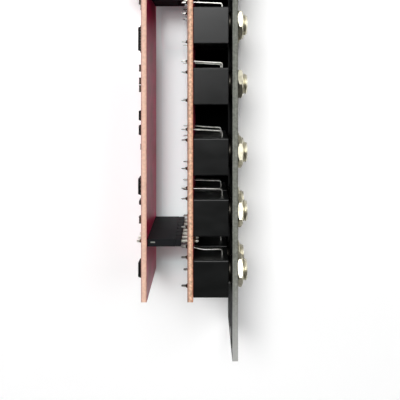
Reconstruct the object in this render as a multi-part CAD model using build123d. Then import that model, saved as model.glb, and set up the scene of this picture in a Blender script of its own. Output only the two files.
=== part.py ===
# A narrow rack module of a synthesizer: a front panel with two columns of sockets for patch cords,
# a jack board behind it and a main board behind that, joined by two rows of pins.
# Millimetres. The panel's front faces -Y and +Z is up, as the module hangs in its rack. The origin
# is midway between the two rail holes, on the panel's rear face.
import os

from build123d import *

# Front panel
panel_width = 20.0
panel_height = 128.5
panel_thickness = 1.6
rail_hole_diameter = 3.2
rail_hole_side_inset = 7.5
rail_hole_end_inset = 3.0
jack_hole_clearance = 0.1

# Circuit boards
board_thickness = 1.6
board_side_inset = 0.3
board_bottom_inset = 16.2
board_bottom_margin = 0.9
board_top_margin = 0.9
pin_slot_clearance = 0.08

# Jack housing, measured from the axis of its bushing
housing_width = 9.0
housing_above_axis = 4.5
housing_below_axis = 6.0
housing_depth = 9.85
housing_wall = 0.8
housing_front_wall = 1.4
housing_corner = 0.4
board_seat_gap = 0.05

# Jack layout: two columns, and rows that come in groups
column_gap = 0.6
row_gap = 6.6
group_gap = 2.7
column_count = 2
row_count = 6
rows_per_group = 3

# Bushing
thread_diameter = 6.0
bore_diameter = 3.6
collar_diameter = 7.4
collar_thickness = 1.0
tail_side = 4.8
tail_past_wall = 0.5
tail_clearance = 0.02
thread_proud = 2.9

# Hex nut, and how far each is turned, in degrees, bottom row first
nut_across_flats = 8.0
nut_thickness = 1.6
nut_clearance = 0.02
nut_turns = ((2, 10, 0, 22, 9, 14), (5, -14, 20, 8, -6, 25))

# Contact strips of a jack, with their board pins
strip_thickness = 0.3
strip_width = 2.6
pin_width = 0.9
pin_past_board = 2.0
tip_pin_drop = 4.92
switch_pin_rise = 3.38
sleeve_pin_rise = 6.48
fold_radius = 0.45
fold_from_wall = 1.2
leaf_gap = 0.15
leaf_root_run = 0.8
leaf_end_run = 0.9
# The leaf's crest and its heel, as shares of the way back to the board and of the way to the axis
leaf_crest_shares = (0.53, 0.75)
leaf_heel_shares = (0.75, 0.53)
contact_gap = 0.02
contact_from_board = 0.4
lug_thickness = 0.4
lug_width = 1.6
lug_corner = 0.9
lug_plate_wall = 0.75
lug_clearance = 0.1

# Pins and sockets between the boards, and on the main board's rear face
pin_pitch = 2.54
pin_side = 0.64
strip_pin_count = 7
header_thickness = 2.1
header_gap = 0.7
bare_pin_length = 1.8
carrier_height = 1.7
socket_height = 7.8
socket_well = 1.1
socket_well_depth = 7.0
socket_window_length = 1.4
socket_window_height = 0.6
pin_in_socket = 5.0
pin_end_length = 1.5
socket_tail_length = 1.5
fork_blade_thickness = 0.15
fork_blade_gap = 0.02
fork_base_height = 0.9
pin_clearance = 0.02
power_rows = 2
power_columns = 5
power_carrier_height = 2.54
power_pin_length = 6.1
power_pin_gap = 1.55
power_shift_share = 0.5

# Surface-mounted parts
quad_body = 7.0
quad_height = 1.4
quad_lead_count = 8
quad_lead_pitch = 0.8
small_chip_length = 4.9
small_chip_width = 3.9
small_chip_height = 1.5
small_chip_lead_count = 4
small_chip_lead_pitch = 1.27
chip_chamfer = 0.25
lead_thickness = 0.2
lead_width = 0.4
lead_reach = 1.05
lead_foot = 0.6
lead_level_share = 0.5
power_diode_size = (3.6, 2.2, 4.6)
power_diode_lead = (2.0, 1.2, 0.35)
small_diode_size = (1.6, 1.1, 2.9)
small_diode_lead = (0.6, 0.5, 0.5)
transistor_size = (2.9, 1.0, 1.3)
transistor_lead = (0.45, 0.55, 0.4)
capacitor_size = (1.25, 0.95, 2.0)
resistor_size = (0.8, 0.5, 1.6)

# Places of the parts on the main board: shares of its width from the -X edge and of its height
quad_place_shares = (0.39, 0.721)
small_chip_place_shares = (0.335, 0.302)
power_diode_place_shares = (0.47, 0.0505)
transistor_place_shares = ((0.19, 0.2635), (0.72, 0.2635))
small_diode_place_shares = ((0.165, 0.5055), (0.165, 0.465), (0.83, 0.0505))
capacitor_place_shares = (
    (0.14, 0.6375), (0.14, 0.6015), (0.14, 0.5805), (0.14, 0.216), (0.74, 0.6375), (0.74, 0.5805), (0.58, 0.216),
    (0.8, 0.316), (0.8, 0.286), (0.12, 0.824),
)
resistor_place_shares = (
    (0.11, 0.806), (0.11, 0.4197), (0.36, 0.5055), (0.52, 0.5055), (0.68, 0.5055), (0.36, 0.465),
    (0.52, 0.465), (0.68, 0.465), (0.36, 0.6015), (0.52, 0.6015), (0.36, 0.216), (0.88, 0.726),
)

# One overrun for every cut
overrun = 1.0


# Planes and places worked out from the sizes above

thread_radius = thread_diameter / 2
seat_side = tail_side + 2 * tail_clearance

panel_left = -rail_hole_side_inset
panel_right = panel_left + panel_width
panel_middle = (panel_left + panel_right) / 2
panel_bottom = -panel_height / 2
panel_top = panel_height / 2
rail_hole_rise = panel_top - rail_hole_end_inset

housing_front = collar_thickness
housing_rear = housing_front + housing_depth
cavity_front = housing_front + housing_front_wall
jack_board_front = housing_rear + board_seat_gap
jack_board_rear = jack_board_front + board_thickness
pin_tip = jack_board_rear + pin_past_board
carrier_front = jack_board_rear + bare_pin_length
socket_front = carrier_front + carrier_height
main_board_front = socket_front + socket_height
main_board_rear = main_board_front + board_thickness

housing_height = housing_above_axis + housing_below_axis
row_pitch = housing_height + row_gap
column_pitch = housing_width + column_gap
board_left = panel_left + board_side_inset
board_right = panel_right - board_side_inset
board_bottom = panel_bottom + board_bottom_inset
lowest_row = board_bottom + board_bottom_margin + housing_below_axis
jack_columns = [
    panel_middle + (column - (column_count - 1) / 2) * column_pitch for column in range(column_count)
]
jack_rows = [
    lowest_row + row * row_pitch + (row // rows_per_group) * group_gap for row in range(row_count)
]
board_top = jack_rows[-1] + sleeve_pin_rise + board_top_margin
jack_places = [(x, z) for x in jack_columns for z in jack_rows]

header_length = strip_pin_count * pin_pitch
header_drop = housing_below_axis + header_gap + header_thickness / 2
lower_header = jack_rows[1] - header_drop
upper_header = jack_rows[-1] - header_drop
header_rises = (lower_header, upper_header)
header_pin_places = [
    panel_middle + (number - (strip_pin_count - 1) / 2) * pin_pitch for number in range(strip_pin_count)
]
power_height = power_columns * pin_pitch
power_width = power_rows * pin_pitch
power_middle = board_left + power_shift_share * (board_right - board_left)
power_rise = upper_header + power_pin_gap + power_height / 2


def block(x, y, z):
    """A box between pairs of planes: each of x, y and z is (low, high)."""
    spans = [high - low for low, high in (x, y, z)]
    middles = [(low + high) / 2 for low, high in (x, y, z)]
    return Pos(*middles) * Box(*spans)


def across(middle, size):
    """The low and high end of a size laid across a middle."""
    return (middle - size / 2, middle + size / 2)


def rod(x, y, z, radius):
    """A round bar along Y, with y as (low, high)."""
    return Pos(x, (y[0] + y[1]) / 2, z) * Rot(90, 0, 0) * Cylinder(radius, y[1] - y[0])


def side_strip(path, thickness, width):
    """A strip bent along a path of Y and Z, as wide along X as it says, about X = 0."""
    profile = Plane(origin=(0, 0, 0), x_dir=(0, 1, 0), z_dir=(1, 0, 0)) * trace(path, thickness)
    return extrude(profile, width / 2, both=True)


def front_panel():
    panel = block((panel_left, panel_right), (-panel_thickness, 0), (panel_bottom, panel_top))
    through = (-panel_thickness - overrun, overrun)
    rail_holes = [rod(0, through, side * rail_hole_rise, rail_hole_diameter / 2) for side in (-1, 1)]
    jack_holes = [rod(x, through, z, thread_radius + jack_hole_clearance) for x, z in jack_places]
    return panel - rail_holes - jack_holes


def board(front, rear):
    return block((board_left, board_right), (front, rear), (board_bottom, board_top))


def pin_slots(places, size, front, rear):
    """Slots through a board for pins of this size (width, thickness)."""
    width, thickness = (side + 2 * pin_slot_clearance for side in size)
    return [
        block(across(x, width), (front - overrun, rear + overrun), across(z, thickness)) for x, z in places
    ]


def jack_board():
    front, rear = jack_board_front, jack_board_rear
    slots = []
    for rise, thickness in (
        (-tip_pin_drop, strip_thickness), (switch_pin_rise, strip_thickness), (sleeve_pin_rise, lug_thickness),
    ):
        places = [(x, z + rise) for x, z in jack_places]
        slots += pin_slots(places, (pin_width, thickness), front, rear)
    header_places = [(x, z) for x in header_pin_places for z in header_rises]
    slots += pin_slots(header_places, (pin_side, pin_side), front, rear)
    return board(front, rear) - slots


def power_pin_places():
    return [
        (
            power_middle + (row - (power_rows - 1) / 2) * pin_pitch,
            power_rise + (column - (power_columns - 1) / 2) * pin_pitch,
        )
        for row in range(power_rows)
        for column in range(power_columns)
    ]


def main_board():
    places = [(x, z) for x in header_pin_places for z in header_rises] + power_pin_places()
    slots = pin_slots(places, (pin_side, pin_side), main_board_front, main_board_rear)
    return board(main_board_front, main_board_rear) - slots


def jack_housing():
    """The moulded box of one jack, open towards the board, about an axis at X = 0 and Z = 0."""
    side = across(0, housing_width)
    body = block(side, (housing_front, housing_rear), (-housing_below_axis, housing_above_axis))
    body = chamfer(body.edges().filter_by(Axis.Y), housing_corner)
    cavity = block(
        (side[0] + housing_wall, side[1] - housing_wall),
        (cavity_front, housing_rear + overrun),
        (housing_wall - housing_below_axis, housing_above_axis - housing_wall),
    )
    seat = block(across(0, seat_side), (housing_front - overrun, cavity_front + overrun), across(0, seat_side))
    slot = block(
        across(0, lug_width + 2 * lug_clearance),
        (cavity_front, cavity_front + lug_thickness + lug_clearance),
        (0, housing_above_axis + overrun),
    )
    return body - cavity - seat - slot


def jack_bushing():
    """The threaded barrel with its collar, and a square tail that keeps it from turning in the housing."""
    front = -panel_thickness - thread_proud
    rear = cavity_front + tail_past_wall
    barrel = rod(0, (front, collar_thickness), 0, thread_radius)
    collar = rod(0, (0, collar_thickness), 0, collar_diameter / 2)
    tail = block(across(0, tail_side), (0, rear), across(0, tail_side))
    bore = rod(0, (front - overrun, rear + overrun), 0, bore_diameter / 2)
    return barrel + collar + tail - bore


def hex_nut(turn):
    """A nut on the panel's front, with a flat that faces -X turned up by this many degrees."""
    facing = Plane(origin=(0, -panel_thickness, 0), x_dir=(1, 0, 0), z_dir=(0, -1, 0))
    outline = RegularPolygon(nut_across_flats / 2, 6, major_radius=False, rotation=30 - turn)
    body = extrude(facing * outline, nut_thickness)
    hole = rod(0, (-panel_thickness - nut_thickness - overrun, overrun), 0, thread_radius + nut_clearance)
    return body - hole


def board_pin(rise, thickness, front):
    """The narrow end of a contact strip, from a plane in the housing to past the board."""
    return block(across(0, pin_width), (front, pin_tip), across(rise, thickness))


def tip_terminal():
    """The fixed half of the tip contact: it runs forward along the floor and folds over."""
    floor = -tip_pin_drop
    fold = cavity_front + fold_from_wall
    path = Polyline(
        (housing_rear, floor), (fold, floor), (fold - fold_radius, floor + fold_radius),
        (fold, floor + 2 * fold_radius),
    )
    return side_strip(path, strip_thickness, strip_width) + board_pin(floor, strip_thickness, housing_rear)


def tip_spring():
    """The moving half: a leaf from the fold to a crest in the plug's way, and down to its heel."""
    floor = -tip_pin_drop
    fold = cavity_front + fold_from_wall
    root = floor + 2 * fold_radius
    reach = housing_rear - fold
    crest = (fold + leaf_crest_shares[0] * reach, floor * (1 - leaf_crest_shares[1]))
    heel = (fold + leaf_heel_shares[0] * reach, floor * (1 - leaf_heel_shares[1]))
    path = Polyline(
        (fold + leaf_gap, root), (fold + leaf_root_run, root), crest, heel, (heel[0] + leaf_end_run, heel[1])
    )
    return side_strip(path, strip_thickness, strip_width)


def switch_contact():
    """The fixed strip that the leaf's heel rests on while the jack is empty."""
    heel_rise = -tip_pin_drop * (1 - leaf_heel_shares[1])
    fold = cavity_front + fold_from_wall
    heel_start = fold + leaf_heel_shares[0] * (housing_rear - fold)
    rest = heel_rise + strip_thickness + contact_gap
    turn = housing_rear - contact_from_board
    tip = heel_start + leaf_end_run / 2
    path = Polyline((turn, switch_pin_rise + strip_thickness / 2), (turn, rest), (tip, rest))
    strip = side_strip(path, strip_thickness, strip_width)
    return strip + board_pin(switch_pin_rise, strip_thickness, turn)


def sleeve_lug():
    """The strip beside the housing, which bends in through its slot to a plate on the bushing's tail."""
    middle = cavity_front + lug_thickness / 2
    span = across(middle, lug_thickness)
    plate_side = seat_side + 2 * lug_plate_wall
    path = Polyline(
        (jack_board_front, sleeve_pin_rise),
        (middle + lug_corner, sleeve_pin_rise),
        (middle, sleeve_pin_rise - lug_corner),
        (middle, (seat_side + plate_side) / 4),
    )
    strip = side_strip(path, lug_thickness, lug_width)
    plate = block(across(0, plate_side), span, across(0, plate_side))
    hole = block(across(0, seat_side), (span[0] - overrun, span[1] + overrun), across(0, seat_side))
    return strip + plate - hole + board_pin(sleeve_pin_rise, lug_thickness, jack_board_front)


def header_socket(rise):
    """The female strip on the main board, with a well for each contact and a window in each end."""
    body = block(
        across(panel_middle, header_length), (socket_front, main_board_front), across(rise, header_thickness)
    )
    well_end = socket_front + socket_well_depth
    wells = [
        block(across(x, socket_well), (socket_front - overrun, well_end), across(rise, socket_well))
        for x in header_pin_places
    ]
    mouths = [
        block(across(x, pin_side), (socket_front, main_board_front + overrun), across(rise, pin_side))
        for x in header_pin_places
    ]
    window = block(
        across(panel_middle, header_length + overrun),
        (well_end - socket_window_length, well_end),
        across(rise, socket_window_height),
    )
    core = block(
        across(panel_middle, header_length - pin_pitch),
        (socket_front, main_board_front),
        across(rise, header_thickness),
    )
    return body - wells - mouths - (window - core)


def pin_carrier(rise):
    """The plastic strip that holds the pins between the boards."""
    body = block(
        across(panel_middle, header_length), (carrier_front, socket_front), across(rise, header_thickness)
    )
    span = (carrier_front - overrun, socket_front + overrun)
    side = pin_side + 2 * pin_clearance
    return body - [block(across(x, side), span, across(rise, side)) for x in header_pin_places]


def header_pins():
    span = (jack_board_front - pin_end_length, socket_front + pin_in_socket)
    return [
        block(across(x, pin_side), span, across(rise, pin_side))
        for rise in header_rises
        for x in header_pin_places
    ]


def socket_contact(x, rise):
    """A fork with two blades that grip the pin, and a tail through the main board."""
    well_end = socket_front + socket_well_depth
    blade_inner = pin_side / 2 + fork_blade_gap
    blade_outer = blade_inner + fork_blade_thickness
    tail_side = pin_side - 2 * pin_clearance
    tail = block(across(x, tail_side), (well_end, main_board_rear + socket_tail_length), across(rise, tail_side))
    fork = block(
        across(x, 2 * blade_outer), (socket_front + fork_base_height, well_end), across(rise, pin_side)
    )
    grip = block(
        across(x, 2 * blade_inner), (socket_front, well_end - fork_base_height), across(rise, pin_side + overrun)
    )
    return fork - grip + tail


def power_carrier():
    body = block(
        across(power_middle, power_width),
        (main_board_rear, main_board_rear + power_carrier_height),
        across(power_rise, power_height),
    )
    side = pin_side + 2 * pin_clearance
    span = (main_board_rear - overrun, main_board_rear + power_carrier_height + overrun)
    holes = [block(across(x, side), span, across(z, side)) for x, z in power_pin_places()]
    return body - holes


def power_pins():
    span = (main_board_front - pin_end_length, main_board_rear + power_carrier_height + power_pin_length)
    return [block(across(x, pin_side), span, across(z, pin_side)) for x, z in power_pin_places()]


def on_main_board(place_shares):
    """The X and Z of a place on the main board, given as shares of its width and height."""
    return (
        board_left + place_shares[0] * (board_right - board_left),
        board_bottom + place_shares[1] * (board_top - board_bottom),
    )


def chip_body(place_shares, width, height, length):
    """A moulded chip that stands on its leads, a lead's thickness off the board."""
    x, z = on_main_board(place_shares)
    base = main_board_rear + lead_thickness
    body = block(across(x, width), (base, base + height), across(z, length))
    top = body.faces().sort_by(Axis.Y)[-1]
    return chamfer(top.edges(), chip_chamfer)


def gull_lead(height):
    """One lead in the plane of X and Y, from a body's side at X = 0 out to -X, standing at Y = 0."""
    middle = lead_thickness / 2
    level = lead_thickness + lead_level_share * height
    knee = lead_reach - lead_foot
    path = Polyline((0, level), (-knee, level), (-knee, middle), (-knee - lead_foot, middle))
    return extrude(trace(path, lead_thickness), lead_width / 2, both=True)


def lead_row(place_shares, reach, height, count, pitch, turn):
    """A row of leads along one side of a chip, turned about the chip's middle."""
    x, z = on_main_board(place_shares)
    lead = gull_lead(height)
    return [
        Pos(x, main_board_rear, z) * Rot(0, turn, 0) * Pos(-reach, 0, (number - (count - 1) / 2) * pitch) * lead
        for number in range(count)
    ]


def chip_leads():
    leads = []
    for turn in (0, 90, 180, 270):
        leads += lead_row(quad_place_shares, quad_body / 2, quad_height, quad_lead_count, quad_lead_pitch, turn)
    for turn in (0, 180):
        leads += lead_row(
            small_chip_place_shares, small_chip_width / 2, small_chip_height, small_chip_lead_count,
            small_chip_lead_pitch, turn,
        )
    return leads


def leaded_part(place_shares, size, lead, lead_rows):
    """A moulded part with flat leads at both ends; lead_rows gives how many stand at each end."""
    x, z = on_main_board(place_shares)
    width, height, length = size
    lead_wide, lead_long, lead_high = lead
    body = block(across(x, width), (main_board_rear, main_board_rear + height), across(z, length))
    body = chamfer(body.faces().sort_by(Axis.Y)[-1].edges(), lead_high / 2)
    for side, count in zip((-1, 1), lead_rows):
        for number in range(count):
            middle = x + (number - (count - 1) / 2) * (width - lead_wide)
            end = z + side * length / 2
            body += block(
                across(middle, lead_wide),
                (main_board_rear, main_board_rear + lead_high),
                sorted((end, end + side * lead_long)),
            )
    return body


def chip_part(place_shares, size):
    """A ceramic capacitor or resistor that lies flat on the board."""
    x, z = on_main_board(place_shares)
    width, height, length = size
    return block(across(x, width), (main_board_rear, main_board_rear + height), across(z, length))


def save(name, solids):
    """Write one node: a single solid, or a group of separate ones."""
    export_step(Compound(children=list(solids)), f"parts/{name}.step")


def moved(solid, x, z):
    return Pos(x, 0, z) * solid


def main():
    os.makedirs("parts", exist_ok=True)
    save("front_panel", [front_panel()])
    save("jack_board", [jack_board()])
    save("main_board", [main_board()])

    housing, spring = jack_housing(), tip_spring()
    for number, (x, z) in enumerate(jack_places, start=1):
        save(f"jack_housing_{number:02d}", [moved(housing, x, z)])
        save(f"tip_spring_{number:02d}", [moved(spring, x, z)])
    bushing, terminal, contact, lug = jack_bushing(), tip_terminal(), switch_contact(), sleeve_lug()
    save("jack_bushings", [moved(bushing, x, z) for x, z in jack_places])
    save("tip_terminals", [moved(terminal, x, z) for x, z in jack_places])
    save("switch_contacts", [moved(contact, x, z) for x, z in jack_places])
    save("sleeve_lugs", [moved(lug, x, z) for x, z in jack_places])
    nuts = [hex_nut(turn) for column_turns in nut_turns for turn in column_turns]
    save("hex_nuts", [moved(nut, x, z) for nut, (x, z) in zip(nuts, jack_places)])

    for name, rise in zip(("lower", "upper"), header_rises):
        save(f"{name}_header_socket", [header_socket(rise)])
        save(f"{name}_pin_carrier", [pin_carrier(rise)])
    save("header_pins", header_pins())
    save("socket_contacts", [socket_contact(x, rise) for rise in header_rises for x in header_pin_places])
    save("power_header_carrier", [power_carrier()])
    save("power_header_pins", power_pins())

    save("quad_chip", [chip_body(quad_place_shares, quad_body, quad_height, quad_body)])
    save("small_chip", [
        chip_body(small_chip_place_shares, small_chip_width, small_chip_height, small_chip_length)
    ])
    save("chip_leads", chip_leads())
    save("power_diode", [leaded_part(power_diode_place_shares, power_diode_size, power_diode_lead, (1, 1))])
    save("small_diodes", [
        leaded_part(place, small_diode_size, small_diode_lead, (1, 1)) for place in small_diode_place_shares
    ])
    save("transistors", [
        leaded_part(place, transistor_size, transistor_lead, (1, 2)) for place in transistor_place_shares
    ])
    save("chip_capacitors", [chip_part(place, capacitor_size) for place in capacitor_place_shares])
    save("chip_resistors", [chip_part(place, resistor_size) for place in resistor_place_shares])


main()
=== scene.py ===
"""The looks of a narrow synthesizer module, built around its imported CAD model.

The frame is the model's own: the panel's front faces -Y, +Z is up and the origin lies midway between the
two rail holes on the panel's rear face. Sizes below are in millimetres, and Blender's units are metres.
"""

import logging
import math
from collections.abc import Sequence
from dataclasses import dataclass
from enum import Enum

import bmesh
import bpy
import numpy as np
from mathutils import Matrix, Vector
from numpy.typing import NDArray


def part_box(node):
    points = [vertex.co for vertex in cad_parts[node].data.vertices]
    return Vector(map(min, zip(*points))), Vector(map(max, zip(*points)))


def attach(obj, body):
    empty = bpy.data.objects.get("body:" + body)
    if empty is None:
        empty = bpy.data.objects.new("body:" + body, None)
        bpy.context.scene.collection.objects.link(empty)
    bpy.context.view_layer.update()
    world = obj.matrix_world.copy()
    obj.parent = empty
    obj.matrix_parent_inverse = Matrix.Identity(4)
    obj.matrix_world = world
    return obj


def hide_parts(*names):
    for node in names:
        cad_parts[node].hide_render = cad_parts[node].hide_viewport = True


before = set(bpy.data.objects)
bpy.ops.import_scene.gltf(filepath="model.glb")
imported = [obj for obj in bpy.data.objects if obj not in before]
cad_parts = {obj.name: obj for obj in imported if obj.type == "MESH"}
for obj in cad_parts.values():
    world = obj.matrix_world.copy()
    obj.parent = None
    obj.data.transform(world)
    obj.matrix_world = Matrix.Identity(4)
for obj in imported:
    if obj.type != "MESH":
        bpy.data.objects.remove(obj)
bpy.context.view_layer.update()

Points = NDArray[np.float64]
Pair = tuple[float, float]
Triple = tuple[float, float, float]
Colour = tuple[float, float, float, float]
Stops = tuple[tuple[float, str], ...]
Tree = bpy.types.NodeTree
Node = bpy.types.Node
Socket = bpy.types.NodeSocket
log = logging.getLogger("module")

MM = 0.001
MAIN_BODY = "module"


class Slot(Enum):
    """The record's material slots."""

    PANEL = "panel_laminate"
    BOARD = "board_laminate"
    JACK_PLASTIC = "jack_plastic"
    NICKEL = "nickel_plate"
    CONTACT = "contact_metal"
    PIN = "pin_metal"
    HEADER_PLASTIC = "header_plastic"
    CHIP_RESIN = "chip_resin"
    CERAMIC = "ceramic"


# Surfaces as arrays of points


@dataclass(frozen=True)
class Shell:
    """A closed surface in the making.

    Attributes:
        points: its points in millimetres, one row each.
        faces: arrays of point numbers, one array for each number of corners.
    """

    points: Points
    faces: tuple[NDArray[np.int64], ...]

    def moved(self, x: float = 0.0, y: float = 0.0, z: float = 0.0) -> "Shell":
        """The same shell, shifted."""
        return Shell(self.points + np.array([x, y, z]), self.faces)

    def turned(self, degrees: float) -> "Shell":
        """The same shell, turned about the Y axis: x' = x cos a + z sin a and z' = z cos a - x sin a."""
        c, s = math.cos(math.radians(degrees)), math.sin(math.radians(degrees))
        return Shell(self.points @ np.array([[c, 0, -s], [0, 1, 0], [s, 0, c]]), self.faces)

    def stretched(self, x: float, y: float, z: float) -> "Shell":
        """The same shell, as many times larger along each axis."""
        return Shell(self.points * np.array([x, y, z]), self.faces)

    def facing_front(self) -> "Shell":
        """The same shell, mirrored in Y, so that what grew towards the rear grows towards the front."""
        return self.stretched(1, -1, 1)

    def axes(self, order: Sequence[int]) -> "Shell":
        """The same shell with its coordinates taken in another order."""
        return Shell(self.points[:, list(order)], self.faces)

    def at(self, places: Points) -> "Shell":
        """Copies of the shell, joined in one shell.

        Args:
            places: how far each copy is shifted, one row each.

        Returns:
            The shell of all the copies.
        """
        spread = self.points[None, :, :] + np.asarray(places, float)[:, None, :]
        starts = np.arange(len(places))[:, None, None] * len(self.points)
        copies = tuple((f[None, :, :] + starts).reshape(-1, f.shape[1]) for f in self.faces)
        return Shell(spread.reshape(-1, 3), copies)


def joined(shells: Sequence[Shell]) -> Shell:
    """Puts several shells in one.

    Args:
        shells: the shells.

    Returns:
        One shell, in which each is still a closed surface of its own.
    """
    starts = np.cumsum([0] + [len(s.points) for s in shells])
    faces = tuple(f + start for s, start in zip(shells, starts) for f in s.faces)
    return Shell(np.concatenate([s.points for s in shells]), faces)


def loft(rings: Points, wraps: bool = False) -> Shell:
    """Joins rings of points, each with the next.

    Face (i, j) has the corners (i, j), (i, j + 1), (i + 1, j + 1) and (i + 1, j), and j runs round.

    Args:
        rings: the points, as (rings, points of a ring, 3).
        wraps: whether the last ring joins the first, as in a tube with walls. If not, both ends are filled.

    Returns:
        The closed shell.
    """
    count, sides = rings.shape[:2]
    i = np.arange(count if wraps else count - 1)[:, None]
    j = np.arange(sides)[None, :]
    beside, above = (j + 1) % sides, (i + 1) % count
    corners = (i * sides + j, i * sides + beside, above * sides + beside, above * sides + j)
    quads = np.stack(corners, -1).reshape(-1, 4)
    if wraps:
        return Shell(rings.reshape(-1, 3), (quads,))
    ends = np.stack([np.arange(sides)[::-1], (count - 1) * sides + np.arange(sides)])
    return Shell(rings.reshape(-1, 3), (quads, ends))


def stacked(outlines: Sequence[Points], levels: Sequence[float]) -> Points:
    """Lays outlines behind one another.

    Args:
        outlines: points in X and Z, as many in each.
        levels: the Y of each outline.

    Returns:
        The outlines as rings.
    """
    rings = np.empty((len(levels), len(outlines[0]), 3))
    rings[:, :, [0, 2]] = np.stack(outlines)
    rings[:, :, 1] = np.asarray(levels)[:, None]
    return rings


def angles(sides: int) -> Points:
    """The angles once round, in even steps from 0."""
    return np.arange(sides) * 2 * np.pi / sides


def turned_rings(radii: Points, levels: Points) -> Points:
    """Rings about the Y axis, with x = r cos a and z = r sin a.

    Args:
        radii: r, as (rings, points of a ring).
        levels: the Y of each ring, or of each of its points.

    Returns:
        The rings' points.
    """
    count, sides = radii.shape
    angle = angles(sides)
    levels = np.broadcast_to(levels.reshape(count, -1), radii.shape)
    return np.stack([radii * np.cos(angle), levels, radii * np.sin(angle)], -1)


def lathe(profile: Sequence[Pair], sides: int, wraps: bool = False) -> Shell:
    """Turns a profile about the Y axis.

    Args:
        profile: its points, as (radius, level).
        sides: how many points a ring gets.
        wraps: whether the profile closes on itself.

    Returns:
        The closed shell.
    """
    table = np.array(profile, float)
    radii = np.broadcast_to(table[:, :1], (len(table), sides))
    return loft(turned_rings(radii, table[:, 1]), wraps)


def washer(inner: float, outer: float, low: float, high: float, sides: int) -> Shell:
    """A flat ring about the Y axis, between two radii and two levels."""
    return lathe([(inner, low), (outer, low), (outer, high), (inner, high)], sides, wraps=True)


def rounded_rectangle(low: Pair, high: Pair, radius: float, steps: int = 3) -> Points:
    """The outline of a rectangle whose corners are quarter circles c + r (cos a, sin a).

    Args:
        low: its lowest corner.
        high: its highest corner.
        radius: the corners' radius.
        steps: how many facets each corner has.

    Returns:
        The outline's points.
    """
    angle = np.radians(np.array([0, 90, 180, 270])[:, None] + np.linspace(0, 90, steps + 1))
    centres = np.array([
        (high[0] - radius, high[1] - radius), (low[0] + radius, high[1] - radius),
        (low[0] + radius, low[1] + radius), (high[0] - radius, low[1] + radius),
    ])
    rim = centres[:, None, :] + radius * np.stack([np.cos(angle), np.sin(angle)], -1)
    return rim.reshape(-1, 2)


def block(low: Triple, high: Triple, bevel: float) -> Shell:
    """A box with bevelled edges.

    Each end grows from an outline drawn in by the bevel, and reaches the full outline one bevel further in.

    Args:
        low: the lowest corner.
        high: the highest corner.
        bevel: how wide the bevels are.

    Returns:
        The closed shell.
    """
    small, full = [
        rounded_rectangle((low[0] + inset, low[2] + inset), (high[0] - inset, high[2] - inset), radius, 1)
        for inset, radius in ((bevel, bevel / 20), (0.0, bevel))
    ]
    return loft(stacked([small, full, full, small], (low[1], low[1] + bevel, high[1] - bevel, high[1])))


def eased_path(corners: Sequence[Pair], cut: float, steps: int) -> Points:
    """A path whose bends are rounded.

    Each bend b is cut back by the same length on both runs, to p and q, and bridged by the curve
    (1 - s)^2 p + 2 s (1 - s) b + s^2 q.

    Args:
        corners: the path's ends and bends.
        cut: how far each bend is cut back.
        steps: how many points each bend gets.

    Returns:
        The points of the rounded path.
    """
    line = np.array(corners, float)
    bends = line[1:-1]
    back, ahead = line[:-2] - bends, line[2:] - bends
    start = bends + cut * back / np.linalg.norm(back, axis=1, keepdims=True)
    end = bends + cut * ahead / np.linalg.norm(ahead, axis=1, keepdims=True)
    s = np.linspace(0, 1, steps)[None, :, None]
    arcs = (1 - s) ** 2 * start[:, None] + 2 * s * (1 - s) * bends[:, None] + s**2 * end[:, None]
    return np.concatenate([line[:1], arcs.reshape(-1, 2), line[-1:]])


def strip(path: Points, thickness: float, width: float, edge: float = 0.11) -> Shell:
    """A flat strip carried along a path in Y and Z, about X = 0.

    A point of the section (u, v) lands at x = u and (y, z) = p + v n, with n the path's normal.

    Args:
        path: the points along the strip's middle.
        thickness: its thickness, in the plane of the path.
        width: its width, along X.
        edge: the radius of its four edges.

    Returns:
        The closed shell.
    """
    runs = np.gradient(path, axis=0)
    runs /= np.linalg.norm(runs, axis=1, keepdims=True)
    normals = np.stack([-runs[:, 1], runs[:, 0]], -1)
    section = rounded_rectangle((-width / 2, -thickness / 2), (width / 2, thickness / 2), edge)
    rings = np.empty((len(path), len(section), 3))
    rings[:, :, 0] = section[:, 0]
    rings[:, :, 1:] = path[:, None, :] + section[None, :, 1:] * normals[:, None, :]
    return loft(rings)


def peg(width: float, thickness: float, start: float, end: float, point: float, both: bool = False) -> Shell:
    """A straight pin along Y with a blunt point at its rear end, or at both.

    Args:
        width: its size along X.
        thickness: its size along Z.
        start: its front end.
        end: its rear end.
        point: how long a point is.
        both: whether the front end has a point as well.

    Returns:
        The closed shell.
    """
    edge = min(width, thickness) / 8
    full = rounded_rectangle((-width / 2, -thickness / 2), (width / 2, thickness / 2), edge, 1)
    blunt = full * 0.5
    outlines = [full, full, blunt]
    levels = [start, end - point, end]
    if both:
        outlines, levels = [blunt, *outlines], [start, start + point, *levels[1:]]
    return loft(stacked(outlines, levels))


def solder_cone(pad: float, tip: float, height: float) -> Shell:
    """A solder joint that stands on a board's rear face at Y = 0.

    Its radius falls from the pad to the pin as tip + (pad - tip) (1 - h)^1.6, the hollow curve of solder that
    wets both.

    Args:
        pad: the radius of its foot.
        tip: the radius where it meets the pin.
        height: how far it climbs.

    Returns:
        The closed shell, with a flat pad round its foot.
    """
    rim, film, foot = pad * 1.12, 0.035, 0.05
    share = np.linspace(0, 1, 7)
    radii = tip + (pad - tip) * (1 - share) ** 1.6
    return lathe([(rim, 0.0), (rim, film), *zip(radii, foot + share * (height - foot))], 20)


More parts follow.
